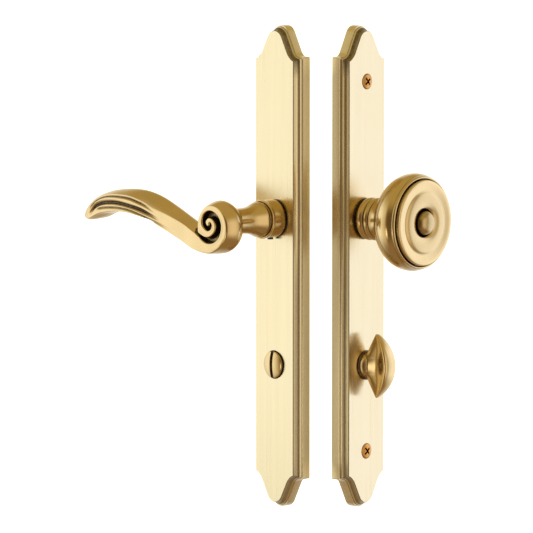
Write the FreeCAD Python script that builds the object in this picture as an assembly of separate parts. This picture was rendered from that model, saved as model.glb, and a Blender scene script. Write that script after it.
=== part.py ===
import FreeCAD, Part
import math
import os

# Narrow trim lockset, millimetres, +Z up.
# Outer half: back of the plate in the plane Y = 0, lever axis at X = 0, Z = 0, outward normal -Y.
# Inner half: the same local frame turned about Z and set beside the outer one, back to back in a V.
# Local frame of a half: u to the right, v up from the handle axis, n outward from the plate back.

# ---------------------------------------------------------------- driving dimensions
PLATE_W = 38.1            # width of the plate
PLATE_TOP = 112.0         # top of the plate above the handle axis
PLATE_BOT = -169.5        # bottom of the plate
PLATE_T = 10.5            # total thickness
BORDER = 3.1              # inset of the raised face on the straight sides
CREST_K = 0.97            # vertical scale of the ogee crest
WALL_N = 5.3              # height of the outer wall of the border
SKIN = 3.0                # face thickness over the hollow back
POCKET_W = 26.0           # width of the hollow in the back
POCKET_TOP = 89.0
POCKET_BOT = -146.5

SCREW_V = (79.65, -136.25)   # through bolts, 215.9 mm apart
TURN_V = -85.7               # release / thumbturn axis below the handle axis
V_ANGLE = 98.2               # angle between the two plate normals
INNER_AT = (26.9, 26.7, 0.0) # centre of the inner plate's back, on the knob axis

SHANK_R = 7.5             # lever and knob shank
BUSH_GAP = 0.05           # running clearance of the shank in its bush
BUSH_R = 9.0
SPINDLE = 7.95            # square spindle
SQUARE = 8.0              # square hole
SPINDLE_OUT = 12.0        # spindle, tailpiece, post and screw reach behind the plate
TURN_SHANK_R = 5.0
TURN_GAP = 0.05

POST_R = 4.0              # through-bolt post
POST_BORE = 2.1
SCREW_R = 2.5             # M5 thread
SCREW_NECK = 2.3
HEAD_R = 4.4

COLLAR_R = 11.3

PIN_R = 0.9               # spring brace pin
PIN_AT = 9.3
WIRE_R = 0.5              # return spring wire
COIL_R = 7.4
STOP_R = 11.6             # cast stop posts in the plate
STOP_PIN = 1.0
STOP_ANG = 60.5

SET_R = 1.7               # socket set screws

Vec = FreeCAD.Vector
os.makedirs("parts", exist_ok=True)


# ---------------------------------------------------------------- helpers (local frame u, v, n)
def P(u, v, n):
    return Vec(u, -n, v)


def cyl(u, v, n0, n1, r):
    return Part.makeCylinder(r, n1 - n0, P(u, v, n0), Vec(0, -1, 0))


def cone(u, v, n0, n1, r0, r1):
    return Part.makeCone(r0, r1, n1 - n0, P(u, v, n0), Vec(0, -1, 0))


def box(u0, u1, v0, v1, n0, n1):
    return Part.makeBox(u1 - u0, n1 - n0, v1 - v0, Vec(u0, -n1, v0))


def vcyl(u, n, v0, v1, r):
    return Part.makeCylinder(r, v1 - v0, P(u, v0, n), Vec(0, 0, 1))


def spline(points, closed=False):
    c = Part.BSplineCurve()
    c.interpolate(Points=points, PeriodicFlag=closed)
    return c.toShape()


def turned(prof, u=0.0, v=0.0):
    """Turned solid about the n axis at (u, v). prof is a list of (r, n) points; a nested list of
    points is one smooth curve that starts at the point before it."""
    edges = []
    last = None
    first = None
    for item in prof:
        if isinstance(item, tuple):
            p = Vec(item[0], -item[1], 0)
            if last is not None and last.distanceToPoint(p) > 1e-7:
                edges.append(Part.LineSegment(last, p).toShape())
            last = p
        else:
            pts = [last] + [Vec(r, -n, 0) for r, n in item]
            edges.append(spline(pts))
            last = pts[-1]
        if first is None:
            first = last
    if last.distanceToPoint(first) > 1e-7:
        edges.append(Part.LineSegment(last, first).toShape())
    face = Part.Face(Part.Wire(edges))
    solid = face.revolve(Vec(0, 0, 0), Vec(0, 1, 0), 360)
    if solid.Volume < 0:
        solid.reverse()
    solid.translate(Vec(u, 0, v))
    return solid


def hex_prism(af, length, at, axis, turn=0.0):
    r = af / math.sqrt(3)
    pts = [Vec(r * math.cos(math.radians(60 * i + turn)), r * math.sin(math.radians(60 * i + turn)), 0)
           for i in range(7)]
    s = Part.Face(Part.makePolygon(pts)).extrude(Vec(0, 0, length))
    s.Placement = FreeCAD.Placement(at, FreeCAD.Rotation(Vec(0, 0, 1), axis))
    return s


def one(shape):
    shape = shape.removeSplitter()
    return shape.Solids[0] if len(shape.Solids) == 1 else shape


# ---------------------------------------------------------------- plate outline
def half_crest(t):
    """Right half of the crest from the apex to the ledge, and the ledge end, the corner's two
    ends and middle. t = 0 is the outer outline, t = 1 the raised face. dv is down from the top."""
    def arcpts(cu, cv, r, a0, a1, k):
        return [(cu + r * math.sin(math.radians(a0 + (a1 - a0) * i / (k - 1))),
                 cv - r * math.cos(math.radians(a0 + (a1 - a0) * i / (k - 1)))) for i in range(k)]

    def line(a, b, k):
        return [(a[0] + (b[0] - a[0]) * i / (k + 1), a[1] + (b[1] - a[1]) * i / (k + 1))
                for i in range(1, k + 1)]

    def concave(cu, cv, r, p0, p1, k):
        a0 = math.atan2(p0[0] - cu, p0[1] - cv)
        a1 = math.atan2(p1[0] - cu, p1[1] - cv)
        return [(cu + r * math.sin(a0 + (a1 - a0) * i / (k - 1)),
                 cv + r * math.cos(a0 + (a1 - a0) * i / (k - 1))) for i in range(k)]

    b = arcpts(0, 7.0, 7.0, 0, 63, 6)
    b += line(b[-1], (12.2, 15.5), 3)
    b += concave(16.66, 13.25, 5.0, (12.2, 15.5), (16.66, 18.25), 6)
    f = arcpts(0, 3.3 + 6.5, 6.5, 0, 63, 6)
    f += line(f[-1], (10.2, 15.35), 3)
    f += concave(20.89, 9.9, 12.0, (10.2, 15.35), (14.9, 20.29), 6)
    pts = [(p[0] + (q[0] - p[0]) * t, (p[1] + (q[1] - p[1]) * t) * CREST_K) for p, q in zip(b, f)]
    hw = PLATE_W / 2
    c0 = (hw - 1.0, 18.25), (hw, 19.25), (hw - 0.293, 18.543)
    c1 = (hw - BORDER - 0.35, 20.55), (hw - BORDER, 20.95), (hw - BORDER - 0.09, 20.66)
    cor = [(p[0] + (q[0] - p[0]) * t, (p[1] + (q[1] - p[1]) * t) * CREST_K) for p, q in zip(c0, c1)]
    return pts, cor


def outline(t, n):
    pts, cor = half_crest(t)

    def up(p):
        return P(p[0], PLATE_TOP - p[1], n)

    def dn(p):
        return P(p[0], PLATE_BOT + p[1], n)

    def mir(p):
        return (-p[0], p[1])

    edges = []
    crest = [up(mir(p)) for p in reversed(pts[1:])] + [up(p) for p in pts]
    edges.append(spline(crest))
    edges.append(Part.LineSegment(up(pts[-1]), up(cor[0])).toShape())
    edges.append(Part.Arc(up(cor[0]), up(cor[2]), up(cor[1])).toShape())
    edges.append(Part.LineSegment(up(cor[1]), dn(cor[1])).toShape())
    edges.append(Part.Arc(dn(cor[1]), dn(cor[2]), dn(cor[0])).toShape())
    edges.append(Part.LineSegment(dn(cor[0]), dn(pts[-1])).toShape())
    crest = [dn(p) for p in reversed(pts)] + [dn(mir(p)) for p in pts[1:]]
    edges.append(spline(crest))
    edges.append(Part.LineSegment(dn(mir(pts[-1])), dn(mir(cor[0]))).toShape())
    edges.append(Part.Arc(dn(mir(cor[0])), dn(mir(cor[2])), dn(mir(cor[1]))).toShape())
    edges.append(Part.LineSegment(dn(mir(cor[1])), up(mir(cor[1]))).toShape())
    edges.append(Part.Arc(up(mir(cor[1])), up(mir(cor[2])), up(mir(cor[0]))).toShape())
    edges.append(Part.LineSegment(up(mir(cor[0])), up(mir(pts[-1]))).toShape())
    return edges


# border section from the back up: outer wall, ledge, lip, cove, fillet, face edge
LEVELS = [(0.0, 0.0), (0.0, WALL_N), (0.20, WALL_N), (0.24, WALL_N + 0.25), (0.34, 6.36), (0.37, 6.7),
          (0.43, 6.75)]
for k in range(1, 5):
    a = math.radians(72.0 - 64.0 * k / 4)
    LEVELS.append((0.43 + 0.45 * (math.cos(a) - 0.309) / 0.681, 6.75 + 2.2 * (0.951 - math.sin(a)) / 0.812))
LEVELS += [(0.89, 10.05), (1.0, PLATE_T)]


def plate_blank():
    rings = [outline(t, n) for t, n in LEVELS]
    faces = [Part.Face(Part.Wire(rings[0])), Part.Face(Part.Wire(rings[-1]))]
    for lo, hi in zip(rings, rings[1:]):
        faces += [Part.makeRuledSurface(a, b) for a, b in zip(lo, hi)]
    shell = Part.makeCompound(faces)
    shell.sewShape()
    body = Part.Solid(shell.Shells[0] if shell.Shells else Part.Shell(faces))
    if body.Volume < 0:
        body.reverse()
    hw = POCKET_W / 2
    pocket = box(-hw, hw, POCKET_BOT, POCKET_TOP, -1.0, PLATE_T - SKIN)
    vert = [e for e in pocket.Edges
            if abs(e.Vertexes[0].Point.y - e.Vertexes[-1].Point.y) > 5.0]
    pocket = pocket.makeFillet(4.0, vert)
    body = body.cut(pocket)
    add = []
    for v in SCREW_V:
        add.append(cyl(0, v, 0.0, PLATE_T - SKIN, 6.5))
    add.append(cyl(0, TURN_V, 3.0, PLATE_T - SKIN, 9.0))
    for s in (-1, 1):
        a = math.radians(STOP_ANG)
        add.append(cyl(s * STOP_R * math.sin(a), STOP_R * math.cos(a), 0.5, PLATE_T - SKIN, STOP_PIN))
    body = body.fuse(add)
    cut = [cyl(0, 0, -1, PLATE_T + 1, BUSH_R), cyl(0, -PIN_AT, 5.0, 9.0, PIN_R)]
    return body.cut(cut)


def outer_plate():
    body = plate_blank()
    cut = [cyl(0, TURN_V, 0, PLATE_T + 1, TURN_SHANK_R + TURN_GAP),
           cyl(0, TURN_V, 8.4, PLATE_T + 1, 8.65)]
    for v in SCREW_V:
        cut.append(cyl(0, v, -1, 6.6, 2.4))
    return one(body.cut(cut))


def inner_plate():
    body = plate_blank()
    cut = [cyl(0, TURN_V, 0, PLATE_T + 1, TURN_SHANK_R + TURN_GAP)]
    for v in SCREW_V:
        cut.append(cyl(0, v, -1, PLATE_T + 1, SCREW_NECK + 0.25))
        cut.append(cone(0, v, 8.2, PLATE_T, SCREW_NECK + 0.25, HEAD_R + 0.12))
    return one(body.cut(cut))


# ---------------------------------------------------------------- shank bearing, drive and spring
def bushing():
    s = turned([(SHANK_R + BUSH_GAP, 6.7), (10.5, 6.7), (10.5, 7.5), (BUSH_R, 7.5), (BUSH_R, PLATE_T),
                (SHANK_R + BUSH_GAP, PLATE_T)])
    return one(s.cut(cyl(0, -PIN_AT, 5, 9, PIN_R)))


def washer():
    return turned([(SHANK_R + 0.15, 6.3), (8.25, 6.3), (8.25, 6.7), (SHANK_R + 0.15, 6.7)])


def retaining_ring():
    s = turned([(6.7, 5.2), (8.2, 5.2), (8.2, 6.1), (6.7, 6.1)])
    s = s.cut(box(-1.9, 1.9, 4.0, 10, 5, 6.3))
    ears = [cyl(sx * 2.55, 7.25, 5.2, 6.1, 0.9) for sx in (-1, 1)]
    s = s.fuse(ears).cut([cyl(0, 0, 5, 6.3, 6.7)] + [cyl(sx * 2.65, 7.5, 5, 6.3, 0.35) for sx in (-1, 1)])
    return one(s)


def spring_cam():
    hub = cyl(0, 0, 0.4, 4.8, 6.3)
    disc = cyl(0, 0, 0.4, 1.4, 8.4)
    arm = box(-2.6, 2.6, -11.0, 0, 0.4, 1.4)
    arm = arm.fuse(box(-1.0, 1.0, -12.3, -8, 0.4, 1.4))
    tab = box(-1.0, 1.0, -12.3, -10.55, 0.4, 4.6)
    ear = box(-2.0, 2.0, 0, 12.2, 0.4, 1.4)
    s = hub.fuse([disc, arm, tab, ear])
    h = SQUARE / 2
    return one(s.cut(box(-h, h, -h, h, 0, 5)))


def return_spring():
    n0, n1 = 2.05, 4.15
    lead = math.asin(1.55 / COIL_R)
    total = 4 * math.pi + 2 * lead
    k = 56
    pts = []
    for i in range(k + 1):
        a = -lead + total * i / k
        pts.append(P(COIL_R * math.sin(a), -COIL_R * math.cos(a), n0 + (n1 - n0) * i / k))
    c = Part.BSplineCurve()
    c.interpolate(pts)
    prof = Part.Wire(Part.Circle(pts[0], c.tangent(c.FirstParameter)[0], WIRE_R).toShape())
    coil = Part.Wire(c.toShape()).makePipeShell([prof], True, True)
    coil = Part.Solid(coil.Shells[0]) if coil.Shells else coil
    v0 = -math.sqrt(COIL_R ** 2 - 1.55 ** 2)
    bits = []
    for u, n in ((-1.55, n0), (1.55, n1)):
        bits.append(Part.makeSphere(WIRE_R, P(u, v0, n)))
        bits.append(vcyl(u, n, -11.9, v0, WIRE_R))
        bits.append(Part.makeSphere(WIRE_R, P(u, -11.9, n)))
    return one(coil.fuse(bits))


def spring_pin():
    return turned([(0, 1.9), (PIN_R - 0.2, 1.9), (PIN_R, 2.1), (PIN_R, 8.9), (0, 8.9)], 0, -PIN_AT)


def spindle(n_end):
    h = SPINDLE / 2
    s = box(-h, h, -h, h, -SPINDLE_OUT, n_end)
    ends = [e for e in s.Edges if abs(abs(e.CenterOfMass.y + (n_end - SPINDLE_OUT) / 2.0)
                                      - (n_end + SPINDLE_OUT) / 2.0) < 1e-6]
    return s.makeChamfer(0.8, ends)


def set_screw(n, v_out):
    s = vcyl(0, n, v_out, -SPINDLE / 2, SET_R)
    return one(s.cut(hex_prism(1.8, 1.6, P(0, v_out - 0.01, n), Vec(0, 0, 1))))


def shank(n_top):
    """Round shank through the plate with its snap ring groove; the square hole is cut later."""
    return turned([(0, 4.8), (SHANK_R - 0.4, 4.8), (SHANK_R, 5.1), (SHANK_R, 5.2), (6.7, 5.2), (6.7, 6.1),
                   (SHANK_R, 6.1), (SHANK_R, n_top), (0, n_top)])


# ---------------------------------------------------------------- lever
SCROLL_V = -2.4
# stations along the arm: u, top v, front lower ridge v, lowest v, front n, back n
ARM = [
    (-8.0, -9.5, -17.4, -18.1, 58.0, 47.5),
    (-14.0, -7.0, -16.7, -17.5, 57.8, 46.5),
    (-20.0, -2.2, -14.7, -15.5, 57.6, 46.0),
    (-28.0, 1.3, -11.9, -12.8, 57.4, 45.5),
    (-37.5, 5.3, -8.7, -9.6, 57.2, 45.2),
    (-47.5, 9.3, -5.6, -6.5, 57.2, 45.0),
    (-57.5, 12.3, -2.8, -3.8, 57.2, 44.8),
    (-69.0, 14.2, -0.6, -1.7, 57.1, 44.6),
    (-80.0, 14.3, 0.7, -0.4, 56.9, 44.6),
    (-91.0, 13.2, 0.4, -0.6, 56.4, 44.8),
    (-101.0, 11.2, -1.0, -3.0, 55.6, 45.6),
    (-109.0, 8.2, -3.1, -5.2, 54.6, 46.7),
    (-115.5, 4.4, -4.9, -6.4, 53.4, 48.2),
    (-119.6, 0.4, -5.4, -6.7, 52.4, 49.2),
    (-121.5, -2.0, -5.3, -6.3, 51.6, 50.2),
]
FLUTE_V = (0.62, 0.42, 0.20)       # flute centres up the front, as a share of ridge to top
FLUTE_W = 0.075


def arm_section(st):
    u, vt, vr, vb, nf, nb = st
    pts = []
    h = vt - vr
    dn = nf - nb
    vm = vr + 0.42 * h
    depth = 0.0
    if u < -34:
        depth = min(1.0, (-34 - u) / 30.0) * 0.9 * min(1.0, (u + 122.0) / 14.0)
    # front, from the ridge up to where the crown starts
    for k in range(11):
        s = k / 10.0 * 0.72
        d = sum(math.exp(-((s - c) / FLUTE_W) ** 2) for c in FLUTE_V) * depth
        crown = 0.0 if s < 0.35 else (s - 0.35) ** 2 * 0.75 * dn
        pts.append(P(u, vr + s * h, nf - crown - d))
    # crown over the top to the back
    for nfrac, vfrac in ((0.74, 0.90), (0.52, 0.985), (0.36, 1.0), (0.20, 0.96), (0.08, 0.86)):
        pts.append(P(u, vr + vfrac * h, nb + nfrac * dn))
    # back
    for nfrac, vv in ((0.0, vr + 0.62 * h), (0.0, vr + 0.30 * h), (0.05, vb + 0.12 * h)):
        pts.append(P(u, vv, nb + nfrac * dn))
    # underside
    pts.append(P(u, vb + 0.01 * h, nb + 0.22 * dn))
    pts.append(P(u, vb + 0.30 * (vr - vb), nb + 0.55 * dn))
    pts.append(P(u, vb + 0.70 * (vr - vb), nb + 0.85 * dn))
    return Part.Wire(spline(pts, True))


GROOVE = [(-17.4, -4.0), (-15.3, -5.4), (-13.1, -6.8), (-10.8, -7.9), (-7.9, -9.2), (-4.7, -10.0), (-1.3, -9.7),
          (1.5, -8.4), (3.9, -6.2), (5.1, -3.5), (5.4, -1.1), (4.6, 1.3), (3.1, 3.1), (0.6, 4.6), (-2.0, 5.1),
          (-4.5, 4.4), (-6.2, 3.0), (-7.1, 0.8), (-6.8, -1.0), (-5.7, -2.2), (-4.3, -3.1), (-3.1, -3.1),
          (-1.8, -2.1), (-1.4, -0.9), (-1.8, -0.1)]
GROOVE_W = [(0.0, 0.35), (0.05, 0.8), (0.14, 1.0), (0.2, 1.25), (0.3, 1.9), (0.37, 2.2), (0.5, 2.35), (0.62, 2.3),
            (0.7, 2.0), (0.78, 1.75), (0.86, 1.5), (0.92, 1.3), (0.97, 1.15), (1.0, 0.8)]


def groove_w(x):
    for (x0, w0), (x1, w1) in zip(GROOVE_W, GROOVE_W[1:]):
        if x <= x1:
            return w0 + (w1 - w0) * (x - x0) / (x1 - x0)
    return GROOVE_W[-1][1]


def spiral_cutter():
    c = Part.BSplineCurve()
    c.interpolate([Vec(u, v, 0) for u, v in GROOVE])
    a, b = c.FirstParameter, c.LastParameter
    left, right = [], []
    n = 44
    for i in range(n + 1):
        t = a + (b - a) * i / n
        p = c.value(t)
        d = c.tangent(t)[0]
        w = groove_w(i / n)
        left.append(P(p.x - d.y * w, p.y + d.x * w, 54.6))
        right.append(P(p.x + d.y * w, p.y - d.x * w, 54.6))
    wire = Part.Wire([spline(left), Part.LineSegment(left[-1], right[-1]).toShape(),
                      spline(list(reversed(right))), Part.LineSegment(right[0], left[0]).toShape()])
    return Part.Face(wire).extrude(Vec(0, -8, 0))


def lever():
    collar = turned([(0, 10.9), (10.9, 10.9), (10.9, 11.9), (11.1, 11.95), (COLLAR_R - 0.1, 12.3), (11.0, 20.2),
                     (11.3, 20.4), (11.35, 21.2), (11.15, 21.45), (10.3, 21.5), (10.3, 21.1),
                     (9.2, 21.1), (9.0, 21.6), (9.0, 23.2), (9.4, 23.9), (10.1, 24.15), (10.4, 24.7),
                     [(10.25, 25.5), (9.4, 27.2), (8.2, 30.4), (7.65, 34.5), (7.6, 39.0), (7.7, 43.5)],
                     (7.7, 50.0), (0, 50.0)])
    drum = turned([(0, 43.0), (9.0, 43.3),
                   [(11.7, 45.1), (13.6, 47.1), (14.8, 49.2), (15.35, 51.4), (15.1, 53.3), (14.5, 55.2),
                    (13.7, 57.0), (13.05, 58.2)],
                   (12.8, 58.55), (12.4, 58.83), (11.9, 59.0), (0, 59.0)], 0, SCROLL_V)
    arm = Part.makeLoft([arm_section(s) for s in ARM], True, False)
    body = collar.fuse([drum, arm, shank(12.0)])
    body = body.cut(spiral_cutter())
    h = SQUARE / 2
    body = body.cut([box(-h, h, -h, h, 4.0, 31.0), vcyl(0, 13.6, -14, -3.9, SET_R)])
    return one(body)


# ---------------------------------------------------------------- knob
def knob_shank():
    s = turned([(0, 10.9), (11.3, 10.9), (11.3, 11.9), (11.7, 11.95),
                [(12.3, 12.9), (12.45, 14.0), (12.2, 15.2), (11.4, 16.1)], (11.0, 16.4), (11.4, 16.7),
                [(12.2, 17.5), (12.45, 18.4), (12.2, 19.5), (11.5, 20.3)], (11.1, 20.5),
                (11.9, 20.9), (12.0, 25.6), (9.0, 25.6), (9.0, 31.0), (0, 31.0)])
    s = s.fuse(shank(12.0))
    h = SQUARE / 2
    s = s.cut([box(-h, h, -h, h, 4.0, 28.0), vcyl(0, 13.4, -14, -3.9, SET_R)])
    return one(s)


def knob_body():
    return one(turned([(9.0, 31.0), (9.0, 25.6), (12.6, 25.6),
                       [(14.8, 27.0), (19.5, 31.0), (24.0, 35.0), (26.9, 39.0), (28.2, 43.0), (28.35, 45.3),
                        (28.1, 47.6), (27.2, 49.7)],
                       (26.9, 50.2),
                       [(26.8, 50.9), (26.5, 51.5), (26.0, 51.8), (25.4, 51.4)],
                       (25.2, 49.8), (24.85, 49.8), (24.8, 52.8),
                       [(24.5, 53.4), (23.6, 53.8), (21.8, 53.78), (20.4, 53.62), (19.3, 53.5)],
                       [(18.7, 53.45), (17.4, 53.95), (16.7, 54.25), (15.6, 54.45), (13.6, 54.55),
                        (11.8, 54.48), (10.4, 54.2), (8.7, 53.5)],
                       (8.1, 53.0), (8.1, 47.0), (4.0, 47.0), (4.0, 31.0)]))


def knob_button():
    return turned([(0, 40.0), (4.0, 40.0), (4.0, 47.0), (6.2, 47.0), (6.95, 48.0), (6.95, 53.6),
                   [(6.7, 54.9), (5.6, 56.3), (3.3, 57.4), (0.0, 57.75)]])


# ---------------------------------------------------------------- thumbturn and release
def thumb_section(v):
    k = abs(v) / 18.7
    q = max(0.0, 1 - k * k)
    nt = 28.8 - (22.1 - math.sqrt(max(22.1 ** 2 - v * v, 0)))
    nb = max(11.3, 8.9 + 0.49 * abs(v))
    nb = nb + 0.25 * math.exp(-((abs(v) - 4.9) / 2.0) ** 2)
    wt = 1.5 + 3.5 * q ** 0.8
    ww = 1.1 + 1.5 * q
    wb = 1.2 + 4.4 * math.exp(-(v / 6.8) ** 2)
    prof = [(0.0, wb * 0.55), (0.04, wb * 0.9), (0.10, wb), (0.20, 0.55 * wb + 0.45 * ww),
            (0.36, 0.08 * wb + 0.92 * ww), (0.52, ww), (0.68, 0.72 * ww + 0.28 * wt),
            (0.82, 0.25 * ww + 0.75 * wt), (0.90, wt), (0.96, 0.93 * wt), (1.0, 0.62 * wt)]
    right = [P(w, TURN_V + v, nb + s * (nt - nb)) for s, w in prof]
    left = [P(-w, TURN_V + v, nb + s * (nt - nb)) for s, w in reversed(prof)]
    top = [P(0, TURN_V + v, nt + 0.04 * (nt - nb) * 0.4)]
    bot = [P(0, TURN_V + v, nb - 0.05)]
    return Part.Wire(spline(right + top + left + bot, True))


def thumbturn():
    vs = [-18.7, -17.3, -14.5, -11.0, -7.5, -4.8, -2.4, 0.0, 2.4, 4.8, 7.5, 11.0, 14.5, 17.3, 18.7]
    blade = Part.makeLoft([thumb_section(v) for v in vs], True, False)
    foot = turned([(0, 2.0), (TURN_SHANK_R - 0.3, 2.0), (TURN_SHANK_R, 2.2), (4.4, 2.2), (4.4, 2.9),
                   (TURN_SHANK_R, 2.9), (TURN_SHANK_R, 10.75), (8.5, 10.75), (8.7, 11.0), (8.6, 11.3),
                   [(7.2, 11.7), (6.0, 12.5), (5.3, 13.8)], (0, 13.8)], 0, TURN_V)
    foot = foot.cut(turned([(4.4, 2.2), (9.0, 2.2), (9.0, 2.9), (4.4, 2.9)], 0, TURN_V))
    s = foot.fuse(blade)
    return one(s.cut(box(-3.0, 3.0, TURN_V - 0.9, TURN_V + 0.9, 0, 9.0)))


def turn_clip():
    s = turned([(4.4, 2.25), (7.4, 2.25), (7.4, 2.85), (4.4, 2.85)], 0, TURN_V)
    s = s.cut([box(-3.4, 3.4, TURN_V - 9, TURN_V, 2, 3), cyl(-5.9, TURN_V + 1.6, 2, 3, 0.7),
               cyl(5.9, TURN_V + 1.6, 2, 3, 0.7)])
    return one(s)


def tailpiece():
    return box(-3.0, 3.0, TURN_V - 0.9, TURN_V + 0.9, -SPINDLE_OUT, 8.8)


def release_button():
    dome = [(7.3, 13.4), (5.4, 14.0), (2.8, 14.38), (0.0, 14.48)]
    s = turned([(0, 2.0), (TURN_SHANK_R - 0.3, 2.0), (TURN_SHANK_R, 2.2), (4.4, 2.2), (4.4, 2.9),
                (TURN_SHANK_R, 2.9), (TURN_SHANK_R, 8.6), (8.3, 8.6), (8.3, 12.6), (8.0, 13.05), dome], 0, TURN_V)
    s = s.cut(box(-1.2, 1.2, TURN_V - 9, TURN_V + 9, 12.1, 16))
    return one(s.cut(box(-3.0, 3.0, TURN_V - 0.9, TURN_V + 0.9, 0, 8.0)))


def release_tailpiece():
    return box(-3.0, 3.0, TURN_V - 0.9, TURN_V + 0.9, -SPINDLE_OUT, 7.8)


# ---------------------------------------------------------------- posts and screws
def post(v):
    s = turned([(POST_BORE, -SPINDLE_OUT), (POST_R - 0.4, -SPINDLE_OUT), (POST_R, -SPINDLE_OUT + 0.4),
                (POST_R, 0.0), (2.4, 0.0), (2.4, 6.2), (2.0, 6.6), (0, 6.6), (0, -1.5), (POST_BORE, -2.7)], 0, v)
    return one(s)


def inner_screw(v):
    s = turned([(0, -SPINDLE_OUT), (SCREW_R - 0.5, -SPINDLE_OUT), (SCREW_R, -SPINDLE_OUT + 0.5), (SCREW_R, 0.0),
                (SCREW_NECK, 0.0), (SCREW_NECK, 8.25), (HEAD_R, 10.35),
                [(4.0, 10.75), (2.4, 11.2), (0, 11.4)]], 0, v)
    cross = box(-0.42, 0.42, v - 2.3, v + 2.3, 9.4, 12).fuse(box(-2.3, 2.3, v - 0.42, v + 0.42, 9.4, 12))
    cross = cross.common(cone(0, v, 8.6, 12.0, 0.6, 3.0))
    cross.rotate(P(0, v, 0), Vec(0, 1, 0), 40)
    return one(s.cut(cross))


# ---------------------------------------------------------------- assembly
INNER = FreeCAD.Placement(Vec(*INNER_AT), FreeCAD.Rotation(Vec(0, 0, 1), V_ANGLE))
OUTER = FreeCAD.Placement()

nodes = []


def keep(name, shape, where):
    s = shape.copy()
    s.Placement = where.multiply(s.Placement)
    nodes.append((name, s))


keep("outer_plate", outer_plate(), OUTER)
keep("outer_bushing", bushing(), OUTER)
keep("outer_washer", washer(), OUTER)
keep("outer_spring_pin", spring_pin(), OUTER)
keep("outer_post_upper", post(SCREW_V[0]), OUTER)
keep("outer_post_lower", post(SCREW_V[1]), OUTER)
keep("lever", lever(), OUTER)
keep("lever_set_screw", set_screw(13.6, -12.1), OUTER)
keep("outer_retaining_ring", retaining_ring(), OUTER)
keep("outer_spring_cam", spring_cam(), OUTER)
keep("outer_return_spring", return_spring(), OUTER)
keep("outer_spindle", spindle(30.0), OUTER)
keep("release_button", release_button(), OUTER)
keep("release_clip", turn_clip(), OUTER)
keep("release_tailpiece", release_tailpiece(), OUTER)

keep("inner_plate", inner_plate(), INNER)
keep("inner_bushing", bushing(), INNER)
keep("inner_washer", washer(), INNER)
keep("inner_spring_pin", spring_pin(), INNER)
keep("inner_screw_upper", inner_screw(SCREW_V[0]), INNER)
keep("inner_screw_lower", inner_screw(SCREW_V[1]), INNER)
keep("knob_body", knob_body(), INNER)
keep("knob_shank", knob_shank(), INNER)
keep("knob_button", knob_button(), INNER)
keep("knob_set_screw", set_screw(13.4, -12.2), INNER)
keep("inner_retaining_ring", retaining_ring(), INNER)
keep("inner_spring_cam", spring_cam(), INNER)
keep("inner_return_spring", return_spring(), INNER)
keep("inner_spindle", spindle(27.0), INNER)
keep("thumbturn", thumbturn(), INNER)
keep("thumbturn_clip", turn_clip(), INNER)
keep("thumbturn_tailpiece", tailpiece(), INNER)

for name, s in nodes:
    bb = s.BoundBox
    print("%-22s valid %s solids %d volume %9.2f  box %6.1f %6.1f %6.1f  %6.1f %6.1f %6.1f" % (
        name, s.isValid(), len(s.Solids), s.Volume, bb.XMin, bb.YMin, bb.ZMin, bb.XMax, bb.YMax, bb.ZMax))
    s.exportStep("parts/%s.step" % name)
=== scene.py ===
import math
import bpy
import bmesh
import numpy as np
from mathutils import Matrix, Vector


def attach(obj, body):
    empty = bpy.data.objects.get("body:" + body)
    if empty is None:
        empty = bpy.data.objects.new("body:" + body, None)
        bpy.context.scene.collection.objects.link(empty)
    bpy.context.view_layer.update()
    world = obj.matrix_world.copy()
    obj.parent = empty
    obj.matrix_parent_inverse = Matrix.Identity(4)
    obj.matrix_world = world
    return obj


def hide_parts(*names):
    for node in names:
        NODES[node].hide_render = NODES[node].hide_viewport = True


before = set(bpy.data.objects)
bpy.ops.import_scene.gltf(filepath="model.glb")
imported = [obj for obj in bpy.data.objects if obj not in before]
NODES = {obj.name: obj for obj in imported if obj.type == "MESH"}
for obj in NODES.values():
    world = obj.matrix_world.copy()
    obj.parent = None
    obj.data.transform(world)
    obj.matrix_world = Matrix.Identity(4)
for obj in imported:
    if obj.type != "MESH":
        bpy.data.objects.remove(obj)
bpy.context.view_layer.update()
MM = 0.001

# ---------------------------------------------------------------- sizes shared with the CAD, millimetres
PLATE_W, PLATE_TOP, PLATE_BOT, PLATE_T = 38.1, 112.0, -169.5, 10.5
BORDER, CREST_K, WALL_N = 3.1, 0.97, 5.3
SCREW_V = (79.65, -136.25)
TURN_V = -85.7
V_ANGLE = math.radians(98.2)
INNER_AT = np.array([26.9, 26.7, 0.0])


def outer(p):
    """Local u, v, n of the outer half to the row frame, millimetres."""
    p = np.asarray(p, float)
    return np.stack([p[..., 0], -p[..., 2], p[..., 1]], -1)


def inner(p):
    q = outer(p)
    c, s = math.cos(V_ANGLE), math.sin(V_ANGLE)
    return np.stack([q[..., 0] * c - q[..., 1] * s, q[..., 0] * s + q[..., 1] * c, q[..., 2]], -1) + INNER_AT


# ---------------------------------------------------------------- curves
def spline(points, k=12):
    """Natural cubic through the points, k steps to each span."""
    p = np.asarray(points, float)
    n = len(p)
    t = np.concatenate([[0], np.cumsum(np.linalg.norm(np.diff(p, axis=0), axis=1) ** 0.75)])
    h = np.diff(t)
    a = np.zeros((n, n))
    b = np.zeros((n, p.shape[1]))
    a[0, 0] = a[-1, -1] = 1
    for i in range(1, n - 1):
        a[i, i - 1], a[i, i], a[i, i + 1] = h[i - 1], 2 * (h[i - 1] + h[i]), h[i]
        b[i] = 6 * ((p[i + 1] - p[i]) / h[i] - (p[i] - p[i - 1]) / h[i - 1])
    m = np.linalg.solve(a, b)
    out = []
    for i in range(n - 1):
        for s in np.linspace(0, 1, k, endpoint=False):
            x = s * h[i]
            y = h[i] - x
            out.append(m[i] * y ** 3 / (6 * h[i]) + m[i + 1] * x ** 3 / (6 * h[i])
                       + (p[i] / h[i] - m[i] * h[i] / 6) * y + (p[i + 1] / h[i] - m[i + 1] * h[i] / 6) * x)
    out.append(p[-1])
    return np.array(out)


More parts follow.
